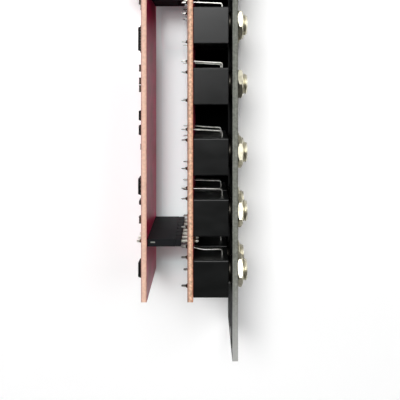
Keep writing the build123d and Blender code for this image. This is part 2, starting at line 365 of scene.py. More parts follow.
def ribbon(path: Sequence[Pair], width: float, height: float) -> Shell:
    """A flat line on a board's rear face at Y = 0, carried along a path in X and Z.

    Its two sides lie at p - n w / 2 and p + n w / 2, with n the path's normal, drawn out at the bends.

    Args:
        path: the line's ends and bends.
        width: how wide it is.
        height: how far it stands out.

    Returns:
        The closed shell.
    """
    line = np.array(path, float)
    runs = np.diff(line, axis=0)
    runs /= np.linalg.norm(runs, axis=1, keepdims=True)
    before, after = np.concatenate([runs[:1], runs]), np.concatenate([runs, runs[-1:]])
    middle = (before + after) / 2
    middle /= (middle**2).sum(1, keepdims=True)
    across = np.stack([-middle[:, 1], middle[:, 0]], -1) * width / 2
    rings = np.zeros((len(line), 4, 3))
    for corner, (side, level) in enumerate(((-1, 0.0), (1, 0.0), (1, height), (-1, height))):
        rings[:, corner, [0, 2]] = line + side * across
        rings[:, corner, 1] = level
    return loft(rings)


# Finishes: each starts from what the real material is


def linear(code: str) -> Colour:
    """Turns an sRGB colour to the linear colour that a shader takes.

    Args:
        code: the colour, such as "8a1c28".

    Returns:
        The linear colour, opaque.
    """
    srgb = np.array([int(code[k:k + 2], 16) for k in (0, 2, 4)]) / 255
    value = np.where(srgb <= 0.04045, srgb / 12.92, ((srgb + 0.055) / 1.055) ** 2.4)
    return (*value.tolist(), 1.0)


def shaded(code: str, times: float = 1.0, plus: int = 0) -> str:
    """An sRGB colour of another shade: each channel v becomes v times + plus, up to 255."""
    return "".join(f"{min(255, int(int(code[k:k + 2], 16) * times) + plus):02x}" for k in (0, 2, 4))


def wire(tree: Tree, node: Node, inputs: dict) -> None:
    """Feeds a node.

    Args:
        tree: the node tree.
        node: the node.
        inputs: socket names with either a value or another node's output.
    """
    for name, value in inputs.items():
        if isinstance(value, Socket):
            tree.links.new(value, node.inputs[name])
        else:
            node.inputs[name].default_value = value


def add(tree: Tree, kind: str, inputs: dict | None = None, stops: Stops = (), **settings) -> Node:
    """Adds one node.

    Args:
        tree: the node tree.
        kind: the node's type.
        inputs: socket names with either a value or another node's output.
        stops: a colour ramp's stops, each a place from 0 to 1 and an sRGB colour.
        settings: the node's own properties.

    Returns:
        The new node.
    """
    node = tree.nodes.new(kind)
    for name, value in settings.items():
        setattr(node, name, value)
    wire(tree, node, inputs or {})
    while stops and len(node.color_ramp.elements) < len(stops):
        node.color_ramp.elements.new(0.5)
    for number, (position, code) in enumerate(stops):
        node.color_ramp.elements[number].position = position
        node.color_ramp.elements[number].color = linear(code)
    return node


@dataclass(frozen=True)
class Spots:
    """Soft random spots of a real size, which every pattern is drawn with.

    Attributes:
        size: how far apart the spots are, in millimetres.
        detail: how much finer noise is in them.
        stretch: how many times longer they are along each axis.
    """

    size: float
    detail: float = 3.0
    stretch: Triple = (1.0, 1.0, 1.0)

    def draw(self, tree: Tree, place: Socket) -> Socket:
        """Lays the spots on a piece.

        Args:
            tree: the node tree.
            place: where on the piece, in metres.

        Returns:
            The spots' value, from 0 to 1.
        """
        scale = tuple(1 / s for s in self.stretch)
        laid = add(tree, "ShaderNodeMapping", {"Vector": place, "Scale": scale}).outputs["Vector"]
        return add(tree, "ShaderNodeTexNoise", {
            "Vector": laid, "Scale": 1 / (self.size * MM), "Detail": self.detail,
        }).outputs["Fac"]


# Spots with the colours that they run through, and spots with two numbers that say how far they go
Shades = tuple[Spots, Stops]
Strays = tuple[Spots, float, float]


@dataclass(frozen=True)
class Finish:
    """The base of every finish: a named material with one shader and its own pattern.

    Attributes:
        name: the material's name.
        slot: the record's slot of the pieces that have it. Nothing in this script reads it.
        colour: its colour, as sRGB.
        roughness: how dull its gloss is.
        metallic: how much of it is bare metal, from 0 to 1.
        ior: the index of refraction of what isn't metal.
    """

    name: str
    slot: Slot
    colour: str
    roughness: float
    metallic: float = 0.0
    ior: float = 1.5

    def material(self) -> bpy.types.Material:
        """Makes the material, or finds it if it was made before.

        Returns:
            The material.
        """
        if self.name in bpy.data.materials:
            return bpy.data.materials[self.name]
        material = bpy.data.materials.new(self.name)
        material.use_nodes = True
        tree = material.node_tree
        tree.nodes.clear()
        place = add(tree, "ShaderNodeTexCoord").outputs["Object"]
        shader = add(tree, "ShaderNodeBsdfPrincipled", {
            "Base Color": linear(self.colour), "Roughness": self.roughness, "Metallic": self.metallic,
            "IOR": self.ior,
        })
        self.pattern(tree, place, shader)
        add(tree, "ShaderNodeOutputMaterial", {"Surface": shader.outputs["BSDF"]})
        return material

    def shades(self) -> Shades:
        """The spots that its colour follows, and the colours from their lowest value to their highest."""
        raise NotImplementedError

    def gloss(self) -> Strays | None:
        """The spots that its roughness follows, and the lowest and the highest roughness, if it strays."""
        return None

    def relief(self) -> Strays | None:
        """The spots that stand out of its surface, by how many millimetres, and how strongly, if any do."""
        return None

    def pattern(self, tree: Tree, place: Socket, shader: Node) -> None:
        """Draws the finish's shades, gloss and relief on its shader.

        Args:
            tree: the material's node tree.
            place: where on the piece, in metres.
            shader: the material's shader.
        """
        spots, stops = self.shades()
        ramp = add(tree, "ShaderNodeValToRGB", {"Fac": spots.draw(tree, place)}, stops)
        wire(tree, shader, {"Base Color": ramp.outputs["Color"]})
        if gloss := self.gloss():
            spots, low, high = gloss
            span = add(tree, "ShaderNodeMapRange", {
                "Value": spots.draw(tree, place), "To Min": low, "To Max": high,
            })
            wire(tree, shader, {"Roughness": span.outputs["Result"]})
        if relief := self.relief():
            spots, depth_mm, strength = relief
            bump = add(tree, "ShaderNodeBump", {
                "Height": spots.draw(tree, place), "Distance": depth_mm * MM, "Strength": strength,
            })
            wire(tree, shader, {"Normal": bump.outputs["Normal"]})


@dataclass(frozen=True)
class MouldedPlastic(Finish):
    """Injection-moulded thermoplastic: dull and even, with the fine grain of a spark-eroded tool.

    Attributes:
        grain: the spacing of that grain. The real 0.03 mm or so wouldn't show, and it is drawn coarser.
        flow: the streaks where the melt flowed.
        swing: how far the roughness strays along them.
        lift: how much lighter they are, in steps of an sRGB channel.
    """

    grain: float = 0.25
    flow: Spots = Spots(3.0, 2.0, (1.0, 2.5, 1.0))
    swing: float = 0.08
    lift: int = 8

    def shades(self) -> Shades:
        """Slightly lighter streaks where the melt flowed."""
        return self.flow, ((0.35, self.colour), (0.75, shaded(self.colour, plus=self.lift)))

    def gloss(self) -> Strays:
        """A gloss that changes slowly along the same streaks."""
        return self.flow, self.roughness - self.swing, self.roughness + self.swing

    def relief(self) -> Strays:
        """The tool's grain."""
        return Spots(self.grain), 0.02, 0.35


@dataclass(frozen=True, kw_only=True)
class PlatedMetal(Finish):
    """Metal under a thin bright plating: mirror-like, softened by handling and by the tool's marks below.

    Attributes:
        dull: the colour of the plating's clouded patches.
        clouds: those patches.
        marks: the tool's marks, drawn out across the axis.
    """

    dull: str
    clouds: Spots = Spots(1.4, 4.0)
    marks: Spots = Spots(0.35, 2.0, (1.0, 0.25, 1.0))

    def shades(self) -> Shades:
        """Cloudy dull patches in the plating."""
        return self.clouds, ((0.3, self.dull), (0.55, self.colour))

    def gloss(self) -> Strays:
        """Fine marks, some polished and some dull."""
        return self.marks, self.roughness * 0.6, self.roughness * 1.5

    def relief(self) -> Strays:
        """The same marks, cut into the metal."""
        return self.marks, 0.01, 0.25


@dataclass(frozen=True, kw_only=True)
class NickelShadedBehindPanel(PlatedMetal):
    """Plated brass with painted shade behind the panel, where its collar and tail lie in the dark gap and
    inside the housing.

    Attributes:
        collar_shade: the colour of the painted shade.
        from_y: the Y from which the painted shade starts.
        to_y: the Y from which the painted shade is full.
    """

    collar_shade: str = "2e2c28"
    from_y: float = 0.05
    to_y: float = 0.15

    def pattern(self, tree: Tree, place: Socket, shader: Node) -> None:
        """Draws the plating's own pattern, with painted shade from one depth on.

        Args:
            tree: the material's node tree.
            place: where on the piece, in metres.
            shader: the material's shader.
        """
        super().pattern(tree, place, shader)
        plated = shader.inputs["Base Color"].links[0].from_socket
        axes = add(tree, "ShaderNodeSeparateXYZ", {"Vector": place})
        # How far a place lies in the painted shade behind the panel
        behind = add(tree, "ShaderNodeMapRange", {
            "Value": axes.outputs["Y"], "From Min": self.from_y * MM, "From Max": self.to_y * MM,
        }).outputs["Result"]
        mixed = add(tree, "ShaderNodeMix", {
            "Factor": behind, "A": plated, "B": linear(self.collar_shade),
        }, data_type="RGBA")
        wire(tree, shader, {"Base Color": mixed.outputs["Result"]})


@dataclass(frozen=True, kw_only=True)
class Solder(Finish):
    """Tin-lead solder as it set: bright on its slope, with frosty patches and a film of amber flux.

    Attributes:
        flux: the colour under the flux.
        frosted: how dull the frostiest patches are. The brightest have the finish's roughness.
        frost: the frosty patches.
    """

    flux: str
    frosted: float = 0.7
    frost: Spots = Spots(0.5)

    def shades(self) -> Shades:
        """Patches that the flux darkens."""
        return Spots(1.1, 2.0), ((0.46, self.flux), (0.68, self.colour))

    def gloss(self) -> Strays:
        """Frost in the gloss."""
        return self.frost, self.roughness, self.frosted

    def relief(self) -> Strays:
        """The frost's crystals."""
        return self.frost, 0.03, 0.3


@dataclass(frozen=True)
class MaskedCopper(Finish):
    """Copper under solder mask: the mask's red, made lighter by the metal below it.

    Attributes:
        deep: the colour where the mask lies thicker.
    """

    deep: str = "b21c48"

    def shades(self) -> Shades:
        """Slow changes of shade where the mask lies thicker."""
        return Spots(5.0, 2.0), ((0.3, self.deep), (0.7, self.colour))


@dataclass(frozen=True)
class Ceramic(Finish):
    """Fired ceramic: fine-grained and almost without gloss.

    Attributes:
        specks: its coarsest grains.
    """

    specks: Spots = Spots(0.3, 4.0)

    def shades(self) -> Shades:
        """Darker specks."""
        return self.specks, ((0.3, shaded(self.colour, times=0.7)), (0.6, self.colour))

    def relief(self) -> Strays:
        """A sugary surface."""
        return self.specks, 0.01, 0.4


@dataclass(frozen=True, kw_only=True)
class MaskedLaminate(Finish):
    """Woven glass and epoxy under solder mask: glossy mask on the faces, and bare layers on the cut edges.

    Attributes:
        deep: the mask's colour where it lies thickest.
        front: the Y of the board's front face.
        rear: the Y of its rear face.
        layers: the colours of the cut edge from front to rear, each with its place from 0 to 1.
        mottle: how far the cut glass bundles stray in brightness along the edge.
        pale_bottom: a paler colour of the cut edge, the Z where it is palest and the Z where it starts, if
            any.
        pale_share: how far the palest place takes on that colour.
        cut: the roughness of the cut edge.
        weave: the spacing of the glass threads, divided by 2 pi. They lie about 3 mm apart, because the real
            0.5 mm wouldn't show through the mask.
        face: how far from the board's middle, in shares of its thickness, the mask begins.
    """

    deep: str
    front: float
    rear: float
    layers: Stops
    mottle: float
    pale_bottom: tuple[str, float, float] | None = None
    pale_share: float = 0.8
    cut: float = 0.75
    weave: float = 0.5
    face: float = 0.497

    def cut_edge(self, tree: Tree, place: Socket, level: Socket, rise: Socket) -> Socket:
        """Draws the layers of the cut edge, a little wavy and mottled.

        Args:
            tree: the material's node tree.
            place: where on the piece, in metres.
            level: how far from the front face to the rear, from 0 to 1.
            rise: the Z of the place, in metres.

        Returns:
            The edge's colour.
        """
        shift = add(tree, "ShaderNodeMapRange", {
            "Value": Spots(0.35, 3.0, (1.0, 0.6, 6.0)).draw(tree, place), "To Min": -0.06, "To Max": 0.06,
        }).outputs["Result"]
        wandering = add(tree, "ShaderNodeMath", {0: level, 1: shift}, operation="ADD").outputs["Value"]
        edge = add(tree, "ShaderNodeValToRGB", {"Fac": wandering}, self.layers).outputs["Color"]
        bundles = add(tree, "ShaderNodeMapRange", {
            "Value": Spots(0.7).draw(tree, place), "To Min": 1 - self.mottle, "To Max": 1 + self.mottle,
        }).outputs["Result"]
        edge = add(tree, "ShaderNodeVectorMath", {
            "Vector": edge, "Scale": bundles,
        }, operation="SCALE").outputs["Vector"]
        if not self.pale_bottom:
            return edge
        # Paler towards the bottom, from the starting Z down to the palest
        pale, low, high = self.pale_bottom
        share = add(tree, "ShaderNodeMapRange", {
            "Value": rise, "From Min": high * MM, "From Max": low * MM, "To Max": self.pale_share,
        }).outputs["Result"]
        return add(tree, "ShaderNodeMix", {
            "Factor": share, "A": edge, "B": linear(pale),
        }, data_type="RGBA").outputs["Result"]

    def pattern(self, tree: Tree, place: Socket, shader: Node) -> None:
        """Tells faces from edges by depth in the board, and draws mask on one and glass layers on the other.

        Args:
            tree: the material's node tree.
            place: where on the piece, in metres.
            shader: the material's shader.
        """
        axes = add(tree, "ShaderNodeSeparateXYZ", {"Vector": place})
        level = add(tree, "ShaderNodeMapRange", {
            "Value": axes.outputs["Y"], "From Min": self.front * MM, "From Max": self.rear * MM,
        }).outputs["Result"]
        middle = add(tree, "ShaderNodeMath", {0: level, 1: 0.5}, operation="SUBTRACT").outputs["Value"]
        away = add(tree, "ShaderNodeMath", {0: middle}, operation="ABSOLUTE").outputs["Value"]
        on_face = add(tree, "ShaderNodeMath", {
            0: away, 1: self.face,
        }, operation="GREATER_THAN").outputs["Value"]
        mask = add(tree, "ShaderNodeValToRGB", {
            "Fac": Spots(6.0, 2.0).draw(tree, place),
        }, ((0.25, self.deep), (0.7, self.colour))).outputs["Color"]
        both = add(tree, "ShaderNodeMix", {
            "Factor": on_face, "A": self.cut_edge(tree, place, level, axes.outputs["Z"]), "B": mask,
        }, data_type="RGBA")
        dullness = add(tree, "ShaderNodeMapRange", {
            "Value": on_face, "To Min": self.cut, "To Max": self.roughness,
        })
        threads = add(tree, "ShaderNodeTexWave", {
            "Vector": place, "Scale": 1 / (20 * self.weave * MM), "Distortion": 0.6, "Detail": 1.0,
        }, wave_type="BANDS", bands_direction="Z")
        bump = add(tree, "ShaderNodeBump", {
            "Height": threads.outputs["Fac"], "Distance": 0.008 * MM, "Strength": 0.12,
        })
        wire(tree, shader, {
            "Base Color": both.outputs["Result"], "Roughness": dullness.outputs["Result"],
            "Normal": bump.outputs["Normal"],
        })


# What a cut edge shows from front to rear: a dark line of mask, pale glass and resin, and mask again
JACK_BOARD_LAYERS = (
    (0.0, "732e19"), (0.06, "b87a5e"), (0.12, "c6957a"), (0.27, "cba285"), (0.42, "e0bb9e"), (0.6, "dab399"),
    (0.78, "b7917e"), (0.93, "936d5e"), (1.0, "76544a"),
)
MAIN_BOARD_LAYERS = (
    (0.0, "834640"), (0.08, "c69889"), (0.3, "e1baa4"), (0.6, "e4bfa9"), (0.82, "dbb3a3"), (1.0, "a4766e"),
)
PANEL_LAYERS = (
    (0.0, "484944"), (0.12, "74766e"), (0.4, "7e8078"), (0.6, "70726b"), (0.85, "787a73"), (1.0, "2c2d2a"),
)

# Moulded black plastics: deep black, with a soft even sheen on the jacks and hardly any on the headers
JACK_PLASTIC = MouldedPlastic("Black PBT, moulded", Slot.JACK_PLASTIC, "0b0c0c", 0.4, ior=1.39)
HEADER_PLASTIC = MouldedPlastic("Black nylon, moulded", Slot.HEADER_PLASTIC, "0a0b0e", 0.6, ior=1.3)
# Transfer-moulded resin full of fine glass powder: the driest black of all, with a finer grain
CHIP_RESIN = MouldedPlastic(
    "Black epoxy, transfer moulded", Slot.CHIP_RESIN, "09090a", 0.6, ior=1.22, grain=0.18,
)
# Nickel on turned brass: warm grey mirrors with clouds in them, and painted shade that darkens them behind
# the panel
NICKEL = PlatedMetal("Nickel on brass, plated", Slot.NICKEL, "c8c4b0", 0.32, metallic=1.0, dull="a7a290")
NICKEL_SHADED_BEHIND_PANEL = NickelShadedBehindPanel(
    "Nickel on brass, painted shade behind the panel", Slot.NICKEL, "d4d0be", 0.32, metallic=1.0, dull="b4af9e",
)
# Tin on stamped strip and drawn pins: cooler and whiter than the nickel, and on the pins a little more dull
TINNED_STRIP = PlatedMetal(
    "Tin on phosphor bronze, plated", Slot.CONTACT, "bcbcb7", 0.34, metallic=1.0, dull="92928b",
)
TINNED_PIN = PlatedMetal(
    "Tin on brass pins, plated", Slot.PIN, "f0f2e8", 0.48, metallic=1.0, dull="c6c8ba",
)
# Matte tin, after soldering: broad in its gloss, and painted dark grey as shade on the small parts' leads and
# ends
MATTE_TIN = PlatedMetal(
    "Matte tin on copper leads, plated", Slot.PIN, "4c4a47", 0.45, metallic=1.0, dull="302f2d",
)
# Solder: a frosty grey cone, and at the jacks' pins a much darker amber-brown one
SOLDER = Solder("Tin-lead solder, set", Slot.PIN, "a29c90", 0.42, metallic=0.9, flux="5a4636")
DARK_SOLDER = Solder("Tin-lead solder, dark", Slot.PIN, "40342b", 0.42, metallic=0.3, flux="150b06")
# Ceramic bodies: brown and sugary on the capacitors, black and a little glassy on the resistors
BARE_CERAMIC = Ceramic("Brown ceramic, fired", Slot.CERAMIC, "3a2c20", 0.6, ior=1.4)
RESISTIVE_FILM = Ceramic("Black glass film on ceramic", Slot.CERAMIC, "1c1c1e", 0.35)
# What is printed on the board: tracks that glow lighter through the mask, and chalky white ink
TRACK = MaskedCopper("Copper under red mask", Slot.BOARD, "d03254", 0.4, ior=1.35)
WHITE_INK = Ceramic("White epoxy ink, screen printed", Slot.BOARD, "d9d6cc", 0.55)


def make_piece(name: str, shell: Shell, finish: Finish, replaces: Sequence[str] = (),
               body: str = MAIN_BODY, sharp: float = 38.0) -> None:
    """Turns a shell into a finished Blender piece, at the origin, with its place in its mesh.

    Args:
        name: the piece's name.
        shell: its surface, in millimetres.
        finish: its material.
        replaces: the CAD nodes that it stands for.
        body: the CAD body that it moves with.
        sharp: the angle between faces, in degrees, from which an edge stays sharp.
    """
    mesh = bpy.data.meshes.new(name)
    mesh.from_pydata((shell.points * MM).tolist(), [], [row for f in shell.faces for row in f.tolist()])
    outward = bmesh.new()
    outward.from_mesh(mesh)
    bmesh.ops.recalc_face_normals(outward, faces=outward.faces)
    outward.to_mesh(mesh)
    outward.free()
    mesh.polygons.foreach_set("use_smooth", np.ones(len(mesh.polygons), dtype=bool))
    mesh.set_sharp_from_angle(angle=math.radians(sharp))
    mesh.materials.append(finish.material())
    piece = bpy.data.objects.new(name, mesh)
    bpy.context.scene.collection.objects.link(piece)
    even = piece.modifiers.new("Even shading", "WEIGHTED_NORMAL")
    even.keep_sharp = True
    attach(piece, body)
    if replaces:
        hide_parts(*replaces)
    log.info("%s: %d faces, on %s", name, len(mesh.polygons), body)


def dress_node(node: str, finish: Finish) -> None:
    """Gives a CAD node that stays its material.

    Args:
        node: the node's name.
        finish: the material.
    """
    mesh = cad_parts[node].data
    mesh.materials.clear()
    mesh.materials.append(finish.material())
    log.info("%s: CAD node kept", node)


# The module's sub-assemblies


def node_box(node: str) -> tuple[Points, Points]:
    """The lowest and highest corner of a CAD node, in millimetres."""
    low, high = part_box(node)
    return np.array(low) / MM, np.array(high) / MM


def depth(node: str) -> Pair:
    """The Y of a CAD node's front and of its rear, in millimetres."""
    low, high = node_box(node)
    return float(low[1]), float(high[1])


@dataclass(frozen=True)
class Panel:
    """The front panel: a black masked board, nearly matt, and grey on its cut edge.

    Attributes:
        pale_bottom: the paler colour of its edge towards the bottom, the Z where it is palest and the Z where
            it starts.
    """

    pale_bottom: tuple[str, float, float] = ("b4b4b2", -62.0, -40.0)

    def build(self) -> None:
        """Keeps the CAD panel and dresses it."""
        front, rear = depth("front_panel")
        dress_node("front_panel", MaskedLaminate(
            "Black masked glass laminate", Slot.PANEL, "0b0c0d", 0.6, ior=1.12, deep="08090a", front=front,
            rear=rear, layers=PANEL_LAYERS, mottle=0.7, pale_bottom=self.pale_bottom,
        ))


@dataclass(frozen=True)
class Boards:
    """The two circuit boards: glossy red mask on their faces, and pale glass layers on their cut edges.

    Attributes:
        kinds: each board's node, the layers of its cut edge and how mottled that is.
    """

    kinds: tuple[tuple[str, Stops, float], ...] = (
        ("jack_board", JACK_BOARD_LAYERS, 0.8), ("main_board", MAIN_BOARD_LAYERS, 0.25),
    )

    def build(self) -> None:
        """Keeps the CAD boards and dresses them."""
        for node, layers, mottle in self.kinds:
            front, rear = depth(node)
            # The mask's own colour is crimson, and the blue in it is a painted cool reflection that its
            # glossy faces show at a grazing view
            dress_node(node, MaskedLaminate(
                f"Red masked glass laminate, {node.replace('_', ' ')}", Slot.BOARD, "bc1856", 0.35, ior=1.35,
                deep="8e0e30", front=front, rear=rear, layers=layers, mottle=mottle,
            ))


@dataclass(frozen=True)
class JackLayout:
    """Where the jacks are: each one's axis, read from its housing's box.

    Attributes:
        count: how many jacks there are.
        above_axis: how far a housing reaches above its axis.
    """

    count: int = 12
    above_axis: float = 4.5

    def axes(self) -> Points:
        """The axes' places as (x, 0, z), in the order of the jacks' numbers."""
        boxes = [node_box(f"jack_housing_{number:02d}") for number in range(1, self.count + 1)]
        return np.array([((low[0] + high[0]) / 2, 0.0, high[2] - self.above_axis) for low, high in boxes])


@dataclass(frozen=True)
class Jack:
    """One patch jack, about its own axis, with the housing's front face 1 mm behind the panel.

    Attributes:
        width: the housing's width.
        above: how far it reaches above the axis.
        below: how far it reaches below the axis.
        front: the Y of its front face.
        rear: the Y of its open rear end.
        wall: the thickness of its side walls.
        cavity: the Y where its cavity starts.
        corner: the radius of its long edges.
        seat: the side of the square hole that the bushing sits in.
        bore: the radius of the bushing's bore.
        thread: the radius of the thread's crests.
        thread_depth: how deep the thread is cut.
        pitch: how far it climbs in a turn.
        collar: the radius of the bushing's collar.
        tail: half the side of its square tail.
        tail_end: the Y of the tail's end.
        mouth: the Y of the bushing's front end.
        nut_flats: the nut's size across flats.
        nut_front: the Y of its front face.
        nut_rear: the Y of its rear face.
    """

    width: float = 9.0
    above: float = 4.5
    below: float = 6.0
    front: float = 1.0
    rear: float = 10.85
    wall: float = 0.8
    cavity: float = 2.4
    corner: float = 0.4
    seat: float = 4.84
    bore: float = 1.8
    thread: float = 3.0
    thread_depth: float = 0.3
    pitch: float = 0.5
    collar: float = 3.7
    tail: float = 2.4
    tail_end: float = 2.9
    mouth: float = -4.5
    nut_flats: float = 8.0
    nut_front: float = -3.2
    nut_rear: float = -1.6

    def housing(self) -> Shell:
        """Shapes the moulded box.

        Returns:
            One surface that runs from the seat round the outside, in at the rear and back to the seat.
        """
        soft, rim, seat_corner, inner_corner = 0.14, 0.08, 0.1, 0.3
        first = soft * 0.3

        def outline(inset: float, radius: float = self.corner) -> Points:
            """The box's outline, drawn in all round."""
            half = self.width / 2 - inset
            return rounded_rectangle((-half, -self.below + inset), (half, self.above - inset), radius)

        seat = rounded_rectangle((-self.seat / 2,) * 2, (self.seat / 2,) * 2, seat_corner)
        inner = outline(self.wall, inner_corner)
        profile = [
            (seat, self.front), (outline(soft), self.front), (outline(first), self.front + first),
            (outline(0), self.front + soft), (outline(0), self.rear - rim), (outline(rim), self.rear),
            (inner, self.rear), (inner, self.cavity), (seat, self.cavity),
        ]
        return loft(stacked(*zip(*profile)), wraps=True)

    def bushing(self) -> Shell:
        """Shapes the threaded barrel with its bore, collar and square tail.

        The thread's surface is r = R - d (1 - cos(2 pi (y / pitch) - a)) / 2, a ridge that climbs one pitch
        for each turn a. The tail's is r = t / max(|cos a|, |sin a|), a square.

        Returns:
            The closed shell, turned from one profile that runs round it and back through the bore.
        """
        sides, rings_per_turn, thread_end = 48, 8, -0.05
        bevel, lip, front_ease, rear_ease = 0.35, 0.25, 0.1, 0.08
        angle = angles(sides)
        turns = np.arange(self.mouth + bevel, thread_end, self.pitch / rings_per_turn)
        drop = 1 - np.cos(2 * np.pi * turns[:, None] / self.pitch - angle)
        ridge = self.thread - self.thread_depth * drop / 2
        square = self.tail / np.maximum(np.abs(np.cos(angle)), np.abs(np.sin(angle)))
        profile = [
            (self.bore, self.mouth + lip), (self.bore + lip, self.mouth), (self.thread - bevel, self.mouth),
            *zip(ridge, turns),
            (self.thread - self.thread_depth, 0.0), (self.collar - front_ease, 0.0),
            (self.collar, front_ease), (self.collar, self.front - rear_ease),
            (self.collar - rear_ease, self.front), (square, self.front), (square, self.tail_end),
            (self.bore, self.tail_end),
        ]
        radii = np.array([np.broadcast_to(radius, sides) for radius, _ in profile])
        return loft(turned_rings(radii, np.array([level for _, level in profile])), wraps=True)

    def nut(self, turn: float) -> Shell:
        """A hex nut, chamfered on both faces.

        Its flank lies at h = a / cos(b), with b the angle to the nearest flat's middle, and each face is cut
        back by (h - c) tan 32 outside the chamfer's circle c, which leaves arcs on the flanks.

        Args:
            turn: how far it is turned, in degrees.

        Returns:
            The closed shell.
        """
        chamfer, slope, sink, play = 0.14, 32, 0.2, 0.02
        angle = angles(96)
        nearest = (angle + np.pi / 6) % (np.pi / 3) - np.pi / 6
        flank = self.nut_flats / 2 / np.cos(nearest)
        circle = self.nut_flats / 2 - chamfer
        rim = np.minimum(flank, circle)
        drop = np.clip(flank - circle, 0, None) * math.tan(math.radians(slope))
        flat = np.zeros_like(angle)
        hole = self.thread + play + flat
        wide = hole + sink
        radii = np.array([hole, wide, rim, flank, flank, rim, wide, hole])
        levels = np.array([
            self.nut_rear - sink + flat, self.nut_rear + flat, self.nut_rear + flat, self.nut_rear - drop,
            self.nut_front + drop, self.nut_front + flat, self.nut_front + flat, self.nut_front + sink + flat,
        ])
        return loft(turned_rings(radii, levels), wraps=True).turned(turn)


@dataclass(frozen=True)
class JackContacts:
    """The bent strips of one jack, about its axis, with their pins through the jack board.

    Attributes:
        thickness: the tip and switch strips' thickness.
        width: their width.
        pin: the width of a pin.
        point: how long its blunt point is.
        cavity: the Y where the housing's cavity starts.
        rear: the Y of the housing's open rear end.
        board: the Y of the jack board's front face.
        pin_end: the Y of the pins' ends.
        tip_rise: the Z of the tip contact's pin.
        switch_rise: the Z of the switch contact's pin.
        sleeve_rise: the Z of the sleeve contact's pin.
        fold: the Y of the tip contact's fold.
        fold_radius: the fold's radius.
        crest: the leaf's crest, as a share of the way from the fold to the rear, and of the tip's depth.
        heel: the leaf's heel, given in the same way.
        lug_thickness: the sleeve contact's thickness.
        lug_width: its width.
        lug_knee: how far in front of the board it starts to droop.
        plate: half the side of its plate.
        seat: half the side of the plate's hole.
    """

    thickness: float = 0.3
    width: float = 2.6
    pin: float = 0.9
    point: float = 0.35
    cavity: float = 2.4
    rear: float = 10.85
    board: float = 10.9
    pin_end: float = 14.5
    tip_rise: float = -4.92
    switch_rise: float = 3.38
    sleeve_rise: float = 6.48
    fold: float = 3.6
    fold_radius: float = 0.45
    crest: Pair = (0.53, 0.25)
    heel: Pair = (0.75, 0.47)
    lug_thickness: float = 0.4
    lug_width: float = 1.6
    lug_knee: float = 2.8
    plate: float = 3.17
    seat: float = 2.42

    def on_leaf(self, shares: Pair) -> Pair:
        """The (Y, Z) of a place given as shares, as the crest and the heel are."""
        return self.fold + shares[0] * (self.rear - self.fold), self.tip_rise * shares[1]

    def lug(self, sags: Pair) -> Shell:
        """The sleeve contact: a strip beside the housing that bends down into it, to a plate on the bushing.

        Args:
            sags: how far the strip droops a third of the way along, and at its bend.

        Returns:
            The strip, its plate and its pin.
        """
        front, back = self.cavity, self.cavity + self.lug_thickness
        middle = self.cavity + self.lug_thickness / 2
        path = eased_path([
            (self.board, self.sleeve_rise), (self.board - self.lug_knee, self.sleeve_rise - sags[0]),
            (middle, self.sleeve_rise - sags[1]), (middle, self.plate - self.lug_thickness),
        ], cut=0.7, steps=8)
        corner, overlap = 0.2, 0.2
        hole, rim = [rounded_rectangle((-half,) * 2, (half,) * 2, corner) for half in (self.seat, self.plate)]
        plate = loft(stacked([hole, rim, rim, hole], (front, front, back, back)), wraps=True)
        pin = peg(self.pin, self.lug_thickness, self.board - overlap, self.pin_end, self.point)
        lug = strip(path, self.lug_thickness, self.lug_width)
        return joined([lug, plate, pin.moved(z=self.sleeve_rise)])

    def terminal(self) -> Shell:
        """Shapes the fixed half of the tip contact.

        Returns:
            A strip along the floor, folded over at the front, and its pin.
        """
        floor, r = self.tip_rise, self.fold_radius
        angle = np.radians(np.linspace(-90, -270, 12))
        bend = np.stack([self.fold + r * np.cos(angle), floor + r + r * np.sin(angle)], -1)
        path = np.concatenate([[(self.rear, floor)], bend])
        pin = peg(self.pin, self.thickness, self.rear, self.pin_end, self.point).moved(z=floor)
        return joined([strip(path, self.thickness, self.width), pin])

    def leaf(self) -> Shell:
        """Shapes the moving half of the tip contact.

        Returns:
            A strip from the fold over a crest in the plug's way, and down to its heel.
        """
        root, heel = self.tip_rise + 2 * self.fold_radius, self.on_leaf(self.heel)
        start, ramp, end = self.fold + 0.15, self.fold + 0.8, heel[0] + 0.9
        path = eased_path([
            (start, root), (ramp, root), self.on_leaf(self.crest), heel, (end, heel[1]),
        ], cut=0.32, steps=6)
        return strip(path, self.thickness, self.width)

    def switch(self) -> Shell:
        """Shapes the fixed contact that the leaf rests on while the jack is empty.

        Returns:
            A strip that reaches in to the leaf's heel, and its pin.
        """
        turn, play, reach = self.rear - 0.4, 0.02, 0.45
        heel = self.on_leaf(self.heel)
        rest, tip = heel[1] + self.thickness + play, heel[0] + reach
        top = self.switch_rise + self.thickness / 2
        path = eased_path([(turn, top), (turn, rest), (tip, rest)], cut=0.25, steps=5)
        pin = peg(self.pin, self.thickness, turn, self.pin_end, self.point).moved(z=self.switch_rise)
        return joined([strip(path, self.thickness, self.width), pin])


